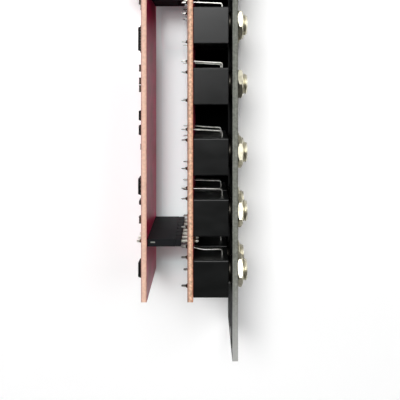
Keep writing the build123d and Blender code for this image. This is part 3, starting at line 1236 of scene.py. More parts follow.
@dataclass(frozen=True)
class JackField:
    """All the jacks: housings, bushings, nuts and contacts at their places.

    Attributes:
        layout: where the jacks are.
        jack: one jack's housing, bushing and nut.
        contacts: one jack's contacts.
        turns: how far each nut is turned, in degrees, in the order of the jacks' numbers.
        sags: how far each jack's sleeve contact droops, a third of the way along and at its bend.
    """

    layout: JackLayout = JackLayout()
    jack: Jack = Jack()
    contacts: JackContacts = JackContacts()
    turns: tuple[float, ...] = (28, 15, 9, 28, 16, 14, 5, -14, 20, 8, -6, 25)
    sags: tuple[Pair, ...] = (
        (0.6, 0.5), (0.05, 0.2), (0.15, 0.42), (0.2, 0.44), (0.1, 0.3), (0.1, 0.2),
        (0.1, 0.2), (0.1, 0.25), (0.3, 0.6), (0.1, 0.4), (0.1, 0.2), (0.1, 0.3),
    )

    def build(self) -> None:
        """Makes every piece of the jacks."""
        axes, strips = self.layout.axes(), self.contacts
        housing, leaf = self.jack.housing(), strips.leaf()
        for number, (x, _, z) in enumerate(axes, start=1):
            tag = f"{number:02d}"
            make_piece(f"housing_{tag}", housing.moved(x, 0, z), JACK_PLASTIC, [f"jack_housing_{tag}"])
            make_piece(f"tip_leaf_{tag}", leaf.moved(x, 0, z), TINNED_STRIP, [f"tip_spring_{tag}"],
                       f"spring_{tag}")
        make_piece("threaded_bushings", self.jack.bushing().at(axes), NICKEL_SHADED_BEHIND_PANEL, ["jack_bushings"],
                   sharp=50)
        nuts = [self.jack.nut(turn).moved(x, 0, z) for turn, (x, _, z) in zip(self.turns, axes)]
        make_piece("chamfered_nuts", joined(nuts), NICKEL, ["hex_nuts"], sharp=25)
        make_piece("tip_strips", strips.terminal().at(axes), TINNED_STRIP, ["tip_terminals"])
        make_piece("switch_strips", strips.switch().at(axes), TINNED_STRIP, ["switch_contacts"])
        lugs = [strips.lug(sag).moved(x, 0, z) for sag, (x, _, z) in zip(self.sags, axes)]
        make_piece("sleeve_strips", joined(lugs), TINNED_STRIP, ["sleeve_lugs"])

    def joint_places(self) -> Points:
        """Where the jacks' pins come out of the jack board's rear face."""
        rises = (self.contacts.tip_rise, self.contacts.switch_rise, self.contacts.sleeve_rise)
        return np.concatenate([self.layout.axes() + np.array([0, 0, rise]) for rise in rises])


@dataclass(frozen=True)
class Headers:
    """The two rows of pins between the boards, and the supply plug's pins on the main board.

    Attributes:
        rises: the Z of the two rows.
        places: the X of the seven pins of a row.
        pitch: how far apart the pins are.
        side: the side of a pin.
        point: how long its blunt points are.
        thickness: the carriers' size along Z.
        notch: how deep the notches between the pins are.
        power_middle: the X and Z of the supply plug's middle.
    """

    rises: Pair = (-31.8, 39.3)
    places: tuple[float, ...] = (-5.12, -2.58, -0.04, 2.5, 5.04, 7.58, 10.12)
    pitch: float = 2.54
    side: float = 0.64
    point: float = 0.45
    thickness: float = 2.1
    notch: float = 0.12
    power_middle: Pair = (2.5, 47.2)

    def notched_bar(self, columns: int, rows: int, length: Pair) -> Shell:
        """A carrier's bar about the Y axis: between each two pins its outline steps in by a notch.

        The outline is drawn point by point round the bar, with four points for each pin on each side.

        Args:
            columns: how many pins there are along X.
            rows: how many there are along Z.
            length: the Y of the bar's two ends.

        Returns:
            The closed shell.
        """
        edge, corner, gap = 0.12, 0.3, 0.001
        wide = columns * self.pitch / 2
        deep = rows * self.pitch / 2 if rows > 1 else self.thickness / 2

        def side(count: int, half: float) -> Points:
            """Points along one side of the bar.

            Args:
                count: how many pins the side has.
                half: half its length.

            Returns:
                The points from -half to half, as (along, inwards).
            """
            starts = -half + np.arange(count) * self.pitch
            along = starts[:, None] + np.array([0, self.notch, self.pitch - self.notch, self.pitch - gap])
            inward = np.tile([self.notch, 0, 0, self.notch], (count, 1))
            return np.stack([along.ravel(), inward.ravel()], -1)

        across = side(columns, wide)
        down = side(rows, deep) if rows > 1 else np.array([(-deep + corner, 0), (deep - corner, 0)])
        outline = np.concatenate([
            np.stack([across[:, 0], -deep + across[:, 1]], -1),
            np.stack([wide - down[:, 1], down[:, 0]], -1),
            np.stack([-across[:, 0], deep - across[:, 1]], -1),
            np.stack([-wide + down[:, 1], -down[:, 0]], -1),
        ])
        small = outline * np.array([1 - edge / wide, 1 - edge / deep])
        levels = (length[0], length[0] + edge, length[1] - edge, length[1])
        return loft(stacked([small, outline, outline, small], levels))

    def pin_places(self) -> Points:
        """The fourteen pins' places."""
        return np.array([(x, 0.0, z) for z in self.rises for x in self.places])

    def power_places(self) -> Points:
        """Finds the ten supply pins.

        Returns:
            Their places, in two rows of five.
        """
        x, z = self.power_middle
        steps = [(row - 0.5, column - 2) for row in range(2) for column in range(5)]
        return np.array([(x + across * self.pitch, 0.0, z + up * self.pitch) for across, up in steps])

    def pins(self, node: str, places: Points) -> Shell:
        """Pins with a blunt point at both ends, as long as a CAD node's."""
        return peg(self.side, self.side, *depth(node), self.point, both=True).at(places)

    def build(self) -> None:
        """Makes the carriers and pins, and dresses the sockets and their contacts."""
        middle = float(np.mean(self.places))
        bar = self.notched_bar(len(self.places), 1, depth("lower_pin_carrier"))
        for name, rise in zip(("lower", "upper"), self.rises):
            make_piece(f"{name}_notched_carrier", bar.moved(middle, 0, rise), HEADER_PLASTIC,
                       [f"{name}_pin_carrier"])
            dress_node(f"{name}_header_socket", HEADER_PLASTIC)
        make_piece("pointed_pins", self.pins("header_pins", self.pin_places()), TINNED_PIN, ["header_pins"])
        dress_node("socket_contacts", TINNED_PIN)
        x, z = self.power_middle
        power = self.notched_bar(2, 5, depth("power_header_carrier")).moved(x, 0, z)
        make_piece("power_notched_carrier", power, HEADER_PLASTIC, ["power_header_carrier"])
        make_piece("power_pointed_pins", self.pins("power_header_pins", self.power_places()), TINNED_PIN,
                   ["power_header_pins"])


@dataclass(frozen=True)
class SolderJoints:
    """The solder at every pin, on the face where each pin comes out.

    Attributes:
        jack: a jack joint's foot radius, tip radius and height.
        jack_stretch: how many times wider along X than along Z a jack joint is, as its pins are flat.
        header: a header joint's foot radius, tip radius and height.
    """

    jack: Triple = (0.75, 0.28, 0.85)
    jack_stretch: float = 1.4
    header: Triple = (0.8, 0.4, 0.75)

    def build(self, jack_pins: Points, header_pins: Points, power_pins: Points) -> None:
        """Makes the joints.

        Args:
            jack_pins: where the jacks' pins are.
            header_pins: where the pins between the boards are.
            power_pins: where the supply plug's pins are.
        """
        jack_board, main_board = depth("jack_board"), depth("main_board")
        jack = solder_cone(*self.jack).stretched(self.jack_stretch, 1.0, 1.0)
        header = solder_cone(*self.header)
        front = header.facing_front()
        for name, cone, face, places, finish in (
            ("jack_joints", jack, jack_board[1], jack_pins, DARK_SOLDER),
            ("header_front_joints", front, jack_board[0], header_pins, SOLDER),
            ("header_rear_joints", header, main_board[1], header_pins, SOLDER),
            ("power_joints", front, main_board[0], power_pins, SOLDER),
        ):
            make_piece(name, cone.moved(y=face).at(places), finish)


@dataclass(frozen=True)
class BoardPart:
    """One kind of part on the main board's rear face.

    Attributes:
        shares: where each stands, as shares of the board's width from its -X edge and of its height.
        width: the body's size along X.
        length: the body's size along Z.
        low: how high its underside is above the board.
        high: how high its top is above the board.
        outline: the width and the length of the white outline round it, if it has one.
    """

    shares: tuple[Pair, ...]
    width: float
    length: float
    low: float
    high: float
    outline: Pair | None

    def places(self) -> Points:
        """Finds such parts on the board's rear face.

        Returns:
            Their places.
        """
        low, high = node_box("main_board")
        x, z = (low[k] + share * (high[k] - low[k]) for k, share in zip((0, 2), np.array(self.shares).T))
        return np.stack([x, np.full_like(x, high[1]), z], -1)


@dataclass(frozen=True)
class MouldedPart(BoardPart):
    """A part with a moulded body.

    Attributes:
        draft: how far its sides slope in from the parting line, at half height.
    """

    draft: float

    def bodies(self) -> Shell:
        """Shapes the moulded bodies.

        Returns:
            The bodies, each with eased edges and sides that slope in from the parting line.
        """
        middle, line, top_ease, foot_ease, corner = (self.low + self.high) / 2, 0.06, 0.06, 0.05, 0.08

        def outline(inset: float) -> Points:
            """The body's outline, drawn in all round."""
            x, z = self.width / 2 - inset, self.length / 2 - inset
            return rounded_rectangle((-x, -z), (x, z), corner, 2)

        insets = (self.draft + 0.04, self.draft, 0.0, 0.0, self.draft, self.draft + top_ease)
        levels = (
            self.low, self.low + foot_ease, middle - line, middle + line, self.high - top_ease, self.high,
        )
        return loft(stacked([outline(i) for i in insets], levels)).at(self.places())


@dataclass(frozen=True)
class Chip(MouldedPart):
    """A chip with rows of bent leads.

    Attributes:
        leads: how many leads a row has.
        pitch: how far apart they are.
        shoulder: how high they leave the body.
        turns: the angle of each row about the chip's middle, in degrees.
        fans: the angles at which tracks fan out from it, in degrees.
        mark: how far the printed mark of pin one lies from its middle, in X and Z.
        dimple: how far the moulded one does.
        foot: how far the leads reach past the body.
    """

    leads: int
    pitch: float
    shoulder: float
    turns: tuple[float, ...]
    fans: tuple[float, ...]
    mark: Pair
    dimple: Pair
    foot: float = 1.0

    def bent_leads(self) -> list[Shell]:
        """Shapes the rows of leads.

        Returns:
            A shell for each row, whose leads leave the body, bend down and stand flat on the board.
        """
        root, knee, end, flat = 0.05, -0.45, -1.05, 0.1
        path = eased_path([
            (root, self.shoulder), (knee, self.shoulder), (knee, flat), (end, flat),
        ], cut=0.14, steps=5)
        lead = strip(path[:, ::-1], thickness=0.2, width=0.4, edge=0.03).axes((2, 1, 0))
        rises = (np.arange(self.leads) - (self.leads - 1) / 2) * self.pitch
        row = lead.at(np.stack([np.full_like(rises, -self.width / 2), np.zeros_like(rises), rises], -1))
        return [row.turned(turn).at(self.places()) for turn in self.turns]


@dataclass(frozen=True)
class TabbedPart(MouldedPart):
    """A diode or transistor with flat leads.

    Attributes:
        tabs: the X and Z of each lead, from the part's middle.
        tab: a lead's width, height and length.
        bevel: the lead's bevel.
    """

    tabs: tuple[Pair, ...]
    tab: Triple
    bevel: float

    def flat_tabs(self) -> list[Shell]:
        """Shapes the flat leads.

        Returns:
            A shell for each lead of the part: a low block, at every place where such a part stands.
        """
        x, y, z = self.tab[0] / 2, self.tab[1], self.tab[2] / 2
        return [
            block((u - x, 0.0, v - z), (u + x, y, v + z), self.bevel).at(self.places()) for u, v in self.tabs
        ]


@dataclass(frozen=True)
class CeramicPart(BoardPart):
    """A ceramic block with two tinned ends, in low feet of solder.

    Attributes:
        bevel: the block's bevel.
        ends: the width, the height and the length over its tinned ends.
        end: how long one of them is.
        foot: the width and the length of the solder below it.
    """

    bevel: float
    ends: Triple
    end: float
    foot: Pair

    def bodies(self) -> Shell:
        """The ceramic blocks."""
        x, z = self.width / 2, self.length / 2
        return block((-x, self.low, -z), (x, self.high, z), self.bevel).at(self.places())

    def tinned_ends(self) -> Shell:
        """Shapes the tinned ends.

        Returns:
            The ends, two to a block.
        """
        (width, height, length), half = self.ends, self.end / 2
        end = block((-width / 2, 0.0, -half), (width / 2, height, half), bevel=0.06)
        offset = length / 2 - half
        return end.at(np.array([(0, 0, -offset), (0, 0, offset)])).at(self.places())

    def feet(self) -> Shell:
        """The solder that climbs the blocks' ends: a low block with eased edges."""
        x, z, climb = self.foot[0] / 2, self.foot[1] / 2, 0.22
        return block((-x, 0.0, -z), (x, climb, z), bevel=0.09).at(self.places())


@dataclass(frozen=True)
class Chips:
    """The surface-mounted parts on the main board's rear face.

    Attributes:
        quad: the square chip, with leads on all four sides.
        small: the narrow chip, with leads on two.
        power_diode: the large diode at the board's lower end.
        diodes: the small diodes.
        transistors: the two transistors, with three leads each.
        capacitors: the ceramic capacitors.
        resistors: the resistors.
    """

    quad: Chip = Chip(
        shares=((0.39, 0.721),), width=7.0, length=7.0, low=0.2, high=1.6, outline=(9.9, 9.9), draft=0.18,
        leads=8, pitch=0.8, shoulder=0.9, turns=(0, 90, 180, 270), fans=(90, 270), mark=(-5.5, 3.6),
        dimple=(-2.5, 2.5),
    )
    small: Chip = Chip(
        shares=((0.335, 0.302),), width=3.9, length=4.9, low=0.2, high=1.7, outline=(3.3, 6.0), draft=0.18,
        leads=4, pitch=1.27, shoulder=0.95, turns=(0, 180), fans=(0, 180), mark=(-2.9, 3.1),
        dimple=(-1.1, 1.6),
    )
    power_diode: TabbedPart = TabbedPart(
        shares=((0.47, 0.0505),), width=3.6, length=4.6, low=0.0, high=2.2, outline=(4.2, 7.6), draft=0.25,
        tabs=((0.0, -2.85), (0.0, 2.85)), tab=(2.0, 0.35, 1.2), bevel=0.08,
    )
    diodes: TabbedPart = TabbedPart(
        shares=((0.165, 0.5055), (0.165, 0.465), (0.83, 0.0505)), width=1.6, length=2.9, low=0.0, high=1.1,
        outline=(1.9, 4.4), draft=0.1, tabs=((0.0, -1.7), (0.0, 1.7)), tab=(0.6, 0.5, 0.5), bevel=0.08,
    )
    transistors: TabbedPart = TabbedPart(
        shares=((0.19, 0.2635), (0.72, 0.2635)), width=2.9, length=1.3, low=0.0, high=1.0, outline=None,
        draft=0.1, tabs=((0.0, -0.925), (-1.225, 0.925), (1.225, 0.925)), tab=(0.44, 0.4, 0.54), bevel=0.06,
    )
    capacitors: CeramicPart = CeramicPart(
        shares=(
            (0.14, 0.6375), (0.14, 0.6015), (0.14, 0.5805), (0.14, 0.216), (0.74, 0.6375), (0.74, 0.5805),
            (0.58, 0.216), (0.8, 0.316), (0.8, 0.286), (0.12, 0.824),
        ), width=1.2, length=1.7, low=0.0, high=0.93, outline=(1.8, 3.0), bevel=0.06,
        ends=(1.29, 0.97, 2.0), end=0.38, foot=(1.35, 2.5),
    )
    resistors: CeramicPart = CeramicPart(
        shares=(
            (0.11, 0.806), (0.11, 0.4197), (0.36, 0.5055), (0.52, 0.5055), (0.68, 0.5055), (0.36, 0.465),
            (0.52, 0.465), (0.68, 0.465), (0.36, 0.6015), (0.52, 0.6015), (0.36, 0.216), (0.88, 0.726),
        ), width=0.76, length=1.2, low=0.02, high=0.48, outline=(1.3, 2.5), bevel=0.04,
        ends=(0.84, 0.52, 1.6), end=0.28, foot=(0.85, 2.0),
    )

    def build(self) -> None:
        """Makes every body, lead and tinned end."""
        make_piece("quad_body", self.quad.bodies(), CHIP_RESIN, ["quad_chip"])
        make_piece("small_body", self.small.bodies(), CHIP_RESIN, ["small_chip"])
        leads = self.quad.bent_leads() + self.small.bent_leads()
        make_piece("bent_leads", joined(leads), MATTE_TIN, ["chip_leads"])
        diodes = joined([self.power_diode.bodies(), self.diodes.bodies()])
        make_piece("diode_bodies", diodes, CHIP_RESIN, ["power_diode", "small_diodes"])
        make_piece("transistor_bodies", self.transistors.bodies(), CHIP_RESIN, ["transistors"])
        tabbed, ceramic = (self.power_diode, self.diodes, self.transistors), (self.capacitors, self.resistors)
        make_piece("flat_tabs", joined([tab for part in tabbed for tab in part.flat_tabs()]), MATTE_TIN)
        make_piece("capacitor_bodies", self.capacitors.bodies(), BARE_CERAMIC, ["chip_capacitors"])
        make_piece("resistor_bodies", self.resistors.bodies(), RESISTIVE_FILM, ["chip_resistors"])
        ends = [part.tinned_ends() for part in ceramic] + [part.feet() for part in ceramic]
        make_piece("tinned_ends", joined(ends), MATTE_TIN)


@dataclass(frozen=True)
class PrintedLayers:
    """What is printed on the main board's rear face: copper tracks below the mask, vias and white outlines.

    Attributes:
        chips: the parts that the tracks run to.
        headers: the rows of pins that they run to.
        track: a track's width.
        track_height: how far it lifts the mask.
        line: an outline's width.
        ink: how thick the white ink is.
        jog: how far the tracks from the header pins step to the side.
        before_jog: how far the first of a row of them runs before that, and how much further each next one.
        past_jog: how far they reach, and how much further the second and the third of each three do.
        edge_tracks: the X, the lowest and the highest Z of each long track.
        edge_jog: how far the long tracks step to the side, and the four Z between which they do.
        middle_tracks: the X of each track through the rows of diodes and resistors.
        header_outline: the width and the length of the outline round a row of pins.
        power_outline: the same round the supply plug.
    """

    chips: Chips
    headers: Headers
    track: float = 0.3
    track_height: float = 0.035
    line: float = 0.16
    ink: float = 0.02
    jog: float = 0.7
    before_jog: Pair = (1.5, 0.12)
    past_jog: Pair = (3.1, 0.25)
    edge_tracks: tuple[Triple, ...] = ((10.95, -28.0, 35.5), (11.4, -29.5, 33.0), (-6.2, -8.0, 34.0))
    edge_jog: tuple[float, ...] = (0.4, -6.0, -5.6, 20.0, 20.4)
    middle_tracks: Triple = (-0.2, 2.9, 6.0)
    header_outline: Pair = (18.4, 2.9)
    power_outline: Pair = (5.7, 13.3)

    def fan(self, chip: Chip, turn: float) -> list[list[Pair]]:
        """Tracks from a row of a chip's leads, spread out at 45 degrees.

        Args:
            chip: the chip.
            turn: the row's angle about the chip's middle, in degrees.

        Returns:
            The paths in X and Z.
        """
        x, _, z = chip.places()[0]
        c, s = math.cos(math.radians(turn)), math.sin(math.radians(turn))
        reach, start, straight, shortest, step, spread = chip.width / 2 + chip.foot, 0.4, 0.5, 1.9, 0.7, 0.3
        paths = []
        for number in range(chip.leads):
            off = number - (chip.leads - 1) / 2
            along, aside = off * chip.pitch, off * (chip.pitch + spread)
            corners = [
                (reach - start, along), (reach + straight, along),
                (reach + straight + abs(off * spread), aside),
                (reach + shortest + step * (number % 2), aside),
            ]
            paths.append([(x + u * c - v * s, z + u * s + v * c) for u, v in corners])
        return paths

    def comb(self, rise: float, step: float) -> list[list[Pair]]:
        """Tracks from a row of header pins, each with a jog to the side.

        Args:
            rise: the Z of the row.
            step: 1 for tracks that run up, and -1 for tracks that run down.

        Returns:
            The paths in X and Z.
        """
        paths = []
        for number, x in enumerate(self.headers.places):
            aside = x + (self.jog if number % 2 else -self.jog)
            first = rise + step * (self.before_jog[0] + self.before_jog[1] * number)
            last = rise + step * (self.past_jog[0] + self.past_jog[1] * (number % 3))
            paths.append([(x, rise), (x, first), (aside, first + step * self.jog), (aside, last)])
        return paths

    def tracks(self) -> list[list[Pair]]:
        """Draws every track.

        Returns:
            The paths, as places in X and Z.
        """
        lower, upper = self.headers.rises
        chips = (self.chips.quad, self.chips.small)
        paths = [path for chip in chips for turn in chip.fans for path in self.fan(chip, turn)]
        paths += self.comb(lower, 1) + self.comb(lower, -1) + self.comb(upper, -1)
        aside, a, b, c, d = self.edge_jog
        for x, low, high in self.edge_tracks:
            paths.append([(x, low), (x, a), (x - aside, b), (x - aside, c), (x, d), (x, high)])
        # Each joins a pad of either row, and runs on up past the one and down past the other, to a via
        for x in self.middle_tracks:
            paths.append([(x, -0.4), (x, 3.75)])
            paths.append([(x, 3.75), (x, 7.2), (x + 0.8, 8.0), (x + 0.8, 9.2)])
            paths.append([(x, -0.4), (x, -4.0), (x - 0.9, -4.9), (x - 0.9, -7.4 - 0.4 * x)])
        return paths

    def outline(self, middle: Pair, size: Pair) -> list[Shell]:
        """A white oblong round a part.

        Args:
            middle: the X and Z of its middle.
            size: its width and its length.

        Returns:
            Its four lines.
        """
        corners = np.array(middle) + np.array([(-1, -1), (1, -1), (1, 1), (-1, 1)]) * np.array(size) / 2
        return [ribbon([corners[k - 1], corners[k]], self.line, self.ink) for k in range(4)]

    def build_outlines(self, rear: float) -> None:
        """Makes the white outlines and the printed marks of pin one.

        Args:
            rear: the Y of the board's rear face.
        """
        chips, headers = self.chips, self.headers
        parts = (chips.quad, chips.small, chips.power_diode, chips.capacitors, chips.resistors, chips.diodes)
        oblongs = [((x, z), part.outline) for part in parts for x, _, z in part.places()]
        middle = float(np.mean(headers.places))
        oblongs += [((middle, rise), self.header_outline) for rise in headers.rises]
        oblongs.append((headers.power_middle, self.power_outline))
        lines = [line for place, size in oblongs for line in self.outline(place, size)]
        marks = [(x + chip.mark[0], 0.0, z + chip.mark[1])
                 for chip in (chips.quad, chips.small) for x, _, z in chip.places()]
        dots = washer(inner=0.02, outer=0.3, low=0.0, high=self.ink, sides=20).at(np.array(marks))
        make_piece("white_outlines", joined([*lines, dots]).moved(y=rear), WHITE_INK)

    def build(self) -> None:
        """Makes the tracks, the vias at their ends, the outlines and the rims of the chips' dimples."""
        rear = depth("main_board")[1]
        paths = self.tracks()
        tracks = joined([ribbon(path, self.track, self.track_height) for path in paths])
        make_piece("rear_tracks", tracks.moved(y=rear), TRACK)
        ends = np.array([(path[-1][0], rear, path[-1][1]) for path in paths])
        ring = washer(inner=0.19, outer=0.42, low=0.0, high=0.045, sides=20)
        make_piece("vias", ring.at(ends), TINNED_PIN)
        self.build_outlines(rear)
        spots = [(x + chip.dimple[0], y + chip.high, z + chip.dimple[1])
                 for chip in (self.chips.quad, self.chips.small) for x, y, z in chip.places()]
        rim = washer(inner=0.3, outer=0.42, low=-0.02, high=0.02, sides=24)
        make_piece("chip_dimples", rim.at(np.array(spots)), CHIP_RESIN)


# The studio


@dataclass(frozen=True)
class Camera:
    """The photograph's camera: it looks along +X, and the picture is a crop below its optical axis.

    Attributes:
        place: where it stands, in millimetres.
        focal_px: its focal length, in pixels of the picture.
        axis_px: the pixel that its optical axis meets.
        picture: the picture's width and height, in pixels.
        sensor: the width of its sensor, in millimetres.
        clip: the nearest and the furthest that it sees, in metres.
    """

    place: Triple = (-110.5, 7.3, 12.75)
    focal_px: float = 371.0
    axis_px: Pair = (206.0, 84.0)
    picture: float = 400.0
    sensor: float = 36.0
    clip: Pair = (0.001, 10.0)

    def build(self) -> None:
        """Makes the camera and looks through it."""
        data = bpy.data.cameras.new("photo camera")
        data.sensor_width = self.sensor
        data.lens = self.focal_px / self.picture * self.sensor
        data.shift_x = 0.5 - self.axis_px[0] / self.picture
        data.shift_y = self.axis_px[1] / self.picture - 0.5
        data.clip_start, data.clip_end = self.clip
        camera = bpy.data.objects.new("photo camera", data)
        camera.location = [c * MM for c in self.place]
        camera.rotation_euler = (math.radians(90), 0.0, math.radians(-90))
        bpy.context.scene.collection.objects.link(camera)
        bpy.context.scene.camera = camera


@dataclass(frozen=True)
class Lamp:
    """A soft oblong lamp that looks at the module's middle.

    Attributes:
        name: the lamp's name.
        place: where it hangs, in millimetres.
        size: its width and its height, in millimetres.
        watts: its power.
    """

    name: str
    place: Triple
    size: Pair
    watts: float

    def build(self, target: Triple) -> None:
        """Hangs the lamp.

        Args:
            target: the place that it looks at, in millimetres.
        """
        data = bpy.data.lights.new(self.name, "AREA")
        data.shape = "RECTANGLE"
        data.size, data.size_y = self.size[0] * MM, self.size[1] * MM
        data.energy = self.watts
        lamp = bpy.data.objects.new(self.name, data)
        lamp.location = [c * MM for c in self.place]
        towards = (np.array(target) - np.array(self.place)) * MM
        lamp.rotation_euler = Vector(towards).to_track_quat("-Z", "Y").to_euler()
        lamp.visible_camera = False
        bpy.context.scene.collection.objects.link(lamp)


@dataclass(frozen=True)
class Patch:
    """A patch of the table with a colour of its own, which is painted shade, such as the deep shade under the
    jacks, or painted light.

    Attributes:
        across: the two ends of its Y.
        along: the two ends of its Z.
        soft: how wide its edges are, along Y and along Z.
        colour: its colour, as sRGB.
    """

    across: Pair
    along: Pair
    soft: Pair
    colour: str

    def share(self, tree: Tree, place: Node) -> Socket:
        """How far a place is inside the patch: the product of four soft edges.

        Args:
            tree: the table's node tree.
            place: the place on the table, as the node that gives its axes.

        Returns:
            The share, from 0 to 1.
        """
        inside = 1.0
        for axis, (low, high), soft in zip("YZ", (self.across, self.along), self.soft):
            for edge, within in ((low, low + soft), (high, high - soft)):
                side = add(tree, "ShaderNodeMapRange", {
                    "Value": place.outputs[axis], "From Min": edge * MM, "From Max": within * MM,
                }).outputs["Result"]
                product = add(tree, "ShaderNodeMath", {0: side, 1: inside}, operation="MULTIPLY")
                inside = product.outputs["Value"]
        return inside

    def over(self, tree: Tree, place: Node, below: Socket | Colour) -> Socket:
        """Lays the patch's colour over another.

        Args:
            tree: the table's node tree.
            place: the place on the table, as the node that gives its axes.
            below: the other colour.

        Returns:
            The colour of both.
        """
        return add(tree, "ShaderNodeMix", {
            "Factor": self.share(tree, place), "A": below, "B": linear(self.colour),
        }, data_type="RGBA").outputs["Result"]


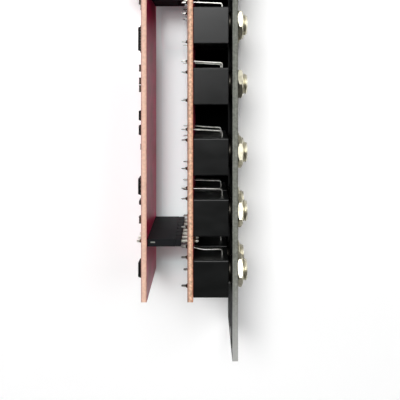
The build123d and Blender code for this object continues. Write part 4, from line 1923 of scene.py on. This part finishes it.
@dataclass(frozen=True)
class Studio:
    """The white table that the module lies on, which is the scene's floor, with the lamps and the world.

    Attributes:
        table: the X of the table's face, just past the module's far edges.
        reach: half the side of the table.
        middle: the module's middle, which the lamps look at.
        world: the strength of the light from all round.
        room: how bright the room that gloss sees is, low down and high up.
        room_rise: the sines of the two angles above the horizon between which the room brightens.
        painted_shade_patches: the painted shade and tint laid on the table, from first to last.
        painted_light: patches of painted light that the table gives the camera alone.
        lamps: the lamps.
    """

    table: float = 12.9
    reach: float = 1500.0
    middle: Triple = (2.5, 10.0, 0.0)
    world: float = 0.03
    room: Pair = (0.07, 0.9)
    room_rise: Pair = (0.05, 0.6)
    # Painted shade: a pale cyan tint that takes the red of the boards' bounced light out between them, shade
    # beside the main board and below the lower row of pins, and near black under the jacks and behind both
    # rows of pins
    painted_shade_patches: tuple[Patch, ...] = (
        Patch((9.0, 27.5), (-52.0, 44.0), (4.5, 6.0), "f3ffff"),
        Patch((21.6, 27.0), (-50.0, 44.0), (2.4, 6.0), "c4c8c8"),
        Patch((12.0, 25.0), (-46.5, -36.0), (1.0, 3.0), "dadada"),
        Patch((-1.2, 12.3), (-48.0, 54.0), (1.0, 1.0), "060708"),
        Patch((11.5, 24.5), (-41.0, -31.5), (1.0, 1.0), "060708"),
        Patch((11.5, 24.5), (38.7, 48.0), (1.0, 1.0), "060708"),
    )
    # Painted light: lightens the shade under the upper row of pins and between the boards, and the supply
    # plug's shadow beside the main board's rear
    painted_light: tuple[Patch, ...] = (
        Patch((12.4, 30.0), (20.0, 44.0), (3.0, 9.0), "6f6f70"),
        Patch((12.4, 21.8), (24.0, 37.5), (2.2, 5.5), "a0a0a0"),
        Patch((12.4, 22.0), (-36.0, 25.0), (2.2, 6.0), "656565"),
        Patch((22.0, 60.0), (14.0, 70.0), (6.0, 12.0), "7c7c7c"),
    )
    lamps: tuple[Lamp, ...] = (
        Lamp("key lamp", (-1000.0, 215.0, 520.0), (850.0, 620.0), 15.5),
        Lamp("side lamp", (-700.0, -700.0, 300.0), (500.0, 500.0), 1.9),
        Lamp("front lamp", (60.0, -620.0, 160.0), (500.0, 500.0), 2.2),
        Lamp("rear lamp", (60.0, 620.0, 160.0), (500.0, 500.0), 2.2),
        Lamp("far front lamp", (420.0, -480.0, 120.0), (400.0, 400.0), 0.6),
        Lamp("far rear lamp", (420.0, 480.0, 120.0), (400.0, 400.0), 2.6),
    )

    def sheet(self, name: str, corners: Sequence[Triple], material: bpy.types.Material) -> None:
        """Lays a flat sheet that isn't part of the module.

        Args:
            name: its name.
            corners: its four corners, in millimetres.
            material: its material.
        """
        mesh = bpy.data.meshes.new(name)
        mesh.from_pydata((np.array(corners) * MM).tolist(), [], [(0, 1, 2, 3)])
        mesh.materials.append(material)
        sheet = bpy.data.objects.new(name, mesh)
        bpy.context.scene.collection.objects.link(sheet)

    def table_material(self) -> bpy.types.Material:
        """Makes white board, seen from its front alone: flat white, with painted shade close to the module
        and painted light that the camera alone sees.

        It is clear from behind, and to the lamps' light on what the camera sees, so that the module's far
        side is lit as well. To light that has bounced it is there, and what lies close to it stays in its
        own shade.

        Returns:
            The material.
        """
        material = bpy.data.materials.new("White table")
        material.use_nodes = True
        tree = material.node_tree
        tree.nodes.clear()
        ray = add(tree, "ShaderNodeLightPath")
        first = add(tree, "ShaderNodeMath", {0: ray.outputs["Diffuse Depth"], 1: 0.5}, operation="LESS_THAN")
        passes = add(tree, "ShaderNodeMath", {
            0: ray.outputs["Is Shadow Ray"], 1: first.outputs["Value"],
        }, operation="MULTIPLY").outputs["Value"]
        back = add(tree, "ShaderNodeNewGeometry").outputs["Backfacing"]
        unseen = add(tree, "ShaderNodeMath", {0: passes, 1: back}, operation="MAXIMUM").outputs["Value"]
        where = add(tree, "ShaderNodeTexCoord").outputs["Object"]
        place = add(tree, "ShaderNodeSeparateXYZ", {"Vector": where})
        # The white with the painted shade laid over it, and the painted light that glows for camera rays
        # alone
        colour, painted_light = linear("ffffff"), linear("000000")
        for patch in self.painted_shade_patches:
            colour = patch.over(tree, place, colour)
        for patch in self.painted_light:
            painted_light = patch.over(tree, place, painted_light)
        white = add(tree, "ShaderNodeAddShader", {
            0: add(tree, "ShaderNodeBsdfDiffuse", {"Color": colour}).outputs["BSDF"],
            1: add(tree, "ShaderNodeEmission", {
                "Color": painted_light, "Strength": ray.outputs["Is Camera Ray"],
            }).outputs["Emission"],
        })
        clear = add(tree, "ShaderNodeBsdfTransparent")
        both = add(tree, "ShaderNodeMixShader", {
            0: unseen, 1: white.outputs["Shader"], 2: clear.outputs["BSDF"],
        })
        add(tree, "ShaderNodeOutputMaterial", {"Surface": both.outputs["Shader"]})
        return material

    def build_world(self) -> None:
        """Makes a faint even light that is plain white where the camera looks past everything.

        Gloss sees a room instead, dark low down and bright from a little above the horizon up.
        """
        world = bpy.data.worlds.new("Soft daylight")
        bpy.context.scene.world = world
        world.use_nodes = True
        tree = world.node_tree
        tree.nodes.clear()
        ray = add(tree, "ShaderNodeLightPath")
        up = add(tree, "ShaderNodeSeparateXYZ", {
            "Vector": add(tree, "ShaderNodeTexCoord").outputs["Generated"],
        }).outputs["Z"]
        room = add(tree, "ShaderNodeMapRange", {
            "Value": up, "From Min": self.room_rise[0], "From Max": self.room_rise[1],
            "To Min": self.room[0], "To Max": self.room[1],
        }, interpolation_type="SMOOTHSTEP").outputs["Result"]
        lit = add(tree, "ShaderNodeMix", {
            "Factor": ray.outputs["Is Glossy Ray"], "A": self.world, "B": room,
        }, data_type="FLOAT").outputs["Result"]
        level = add(tree, "ShaderNodeMix", {
            "Factor": ray.outputs["Is Camera Ray"], "A": lit, "B": 1.0,
        }, data_type="FLOAT").outputs["Result"]
        sky = add(tree, "ShaderNodeBackground", {"Color": linear("ffffff"), "Strength": level})
        add(tree, "ShaderNodeOutputWorld", {"Surface": sky.outputs["Background"]})

    def build(self) -> None:
        """Lays the table, hangs the lamps and lights the world."""
        r, x = self.reach, self.table
        self.sheet("table", [(x, r, -r), (x, -r, -r), (x, -r, r), (x, r, r)], self.table_material())
        for lamp in self.lamps:
            lamp.build(self.middle)
        self.build_world()
        bpy.context.scene.view_settings.view_transform = "Standard"


def main() -> None:
    """Builds the studio and every sub-assembly, in order, and notes how large the looks came out."""
    logging.basicConfig(level=logging.INFO, format="%(name)s: %(message)s")
    Camera().build()
    Studio().build()
    field, headers, chips = JackField(), Headers(), Chips()
    Panel().build()
    Boards().build()
    field.build()
    headers.build()
    SolderJoints().build(field.joint_places(), headers.pin_places(), headers.power_places())
    chips.build()
    PrintedLayers(chips, headers).build()


if __name__ == "__main__":
    main()
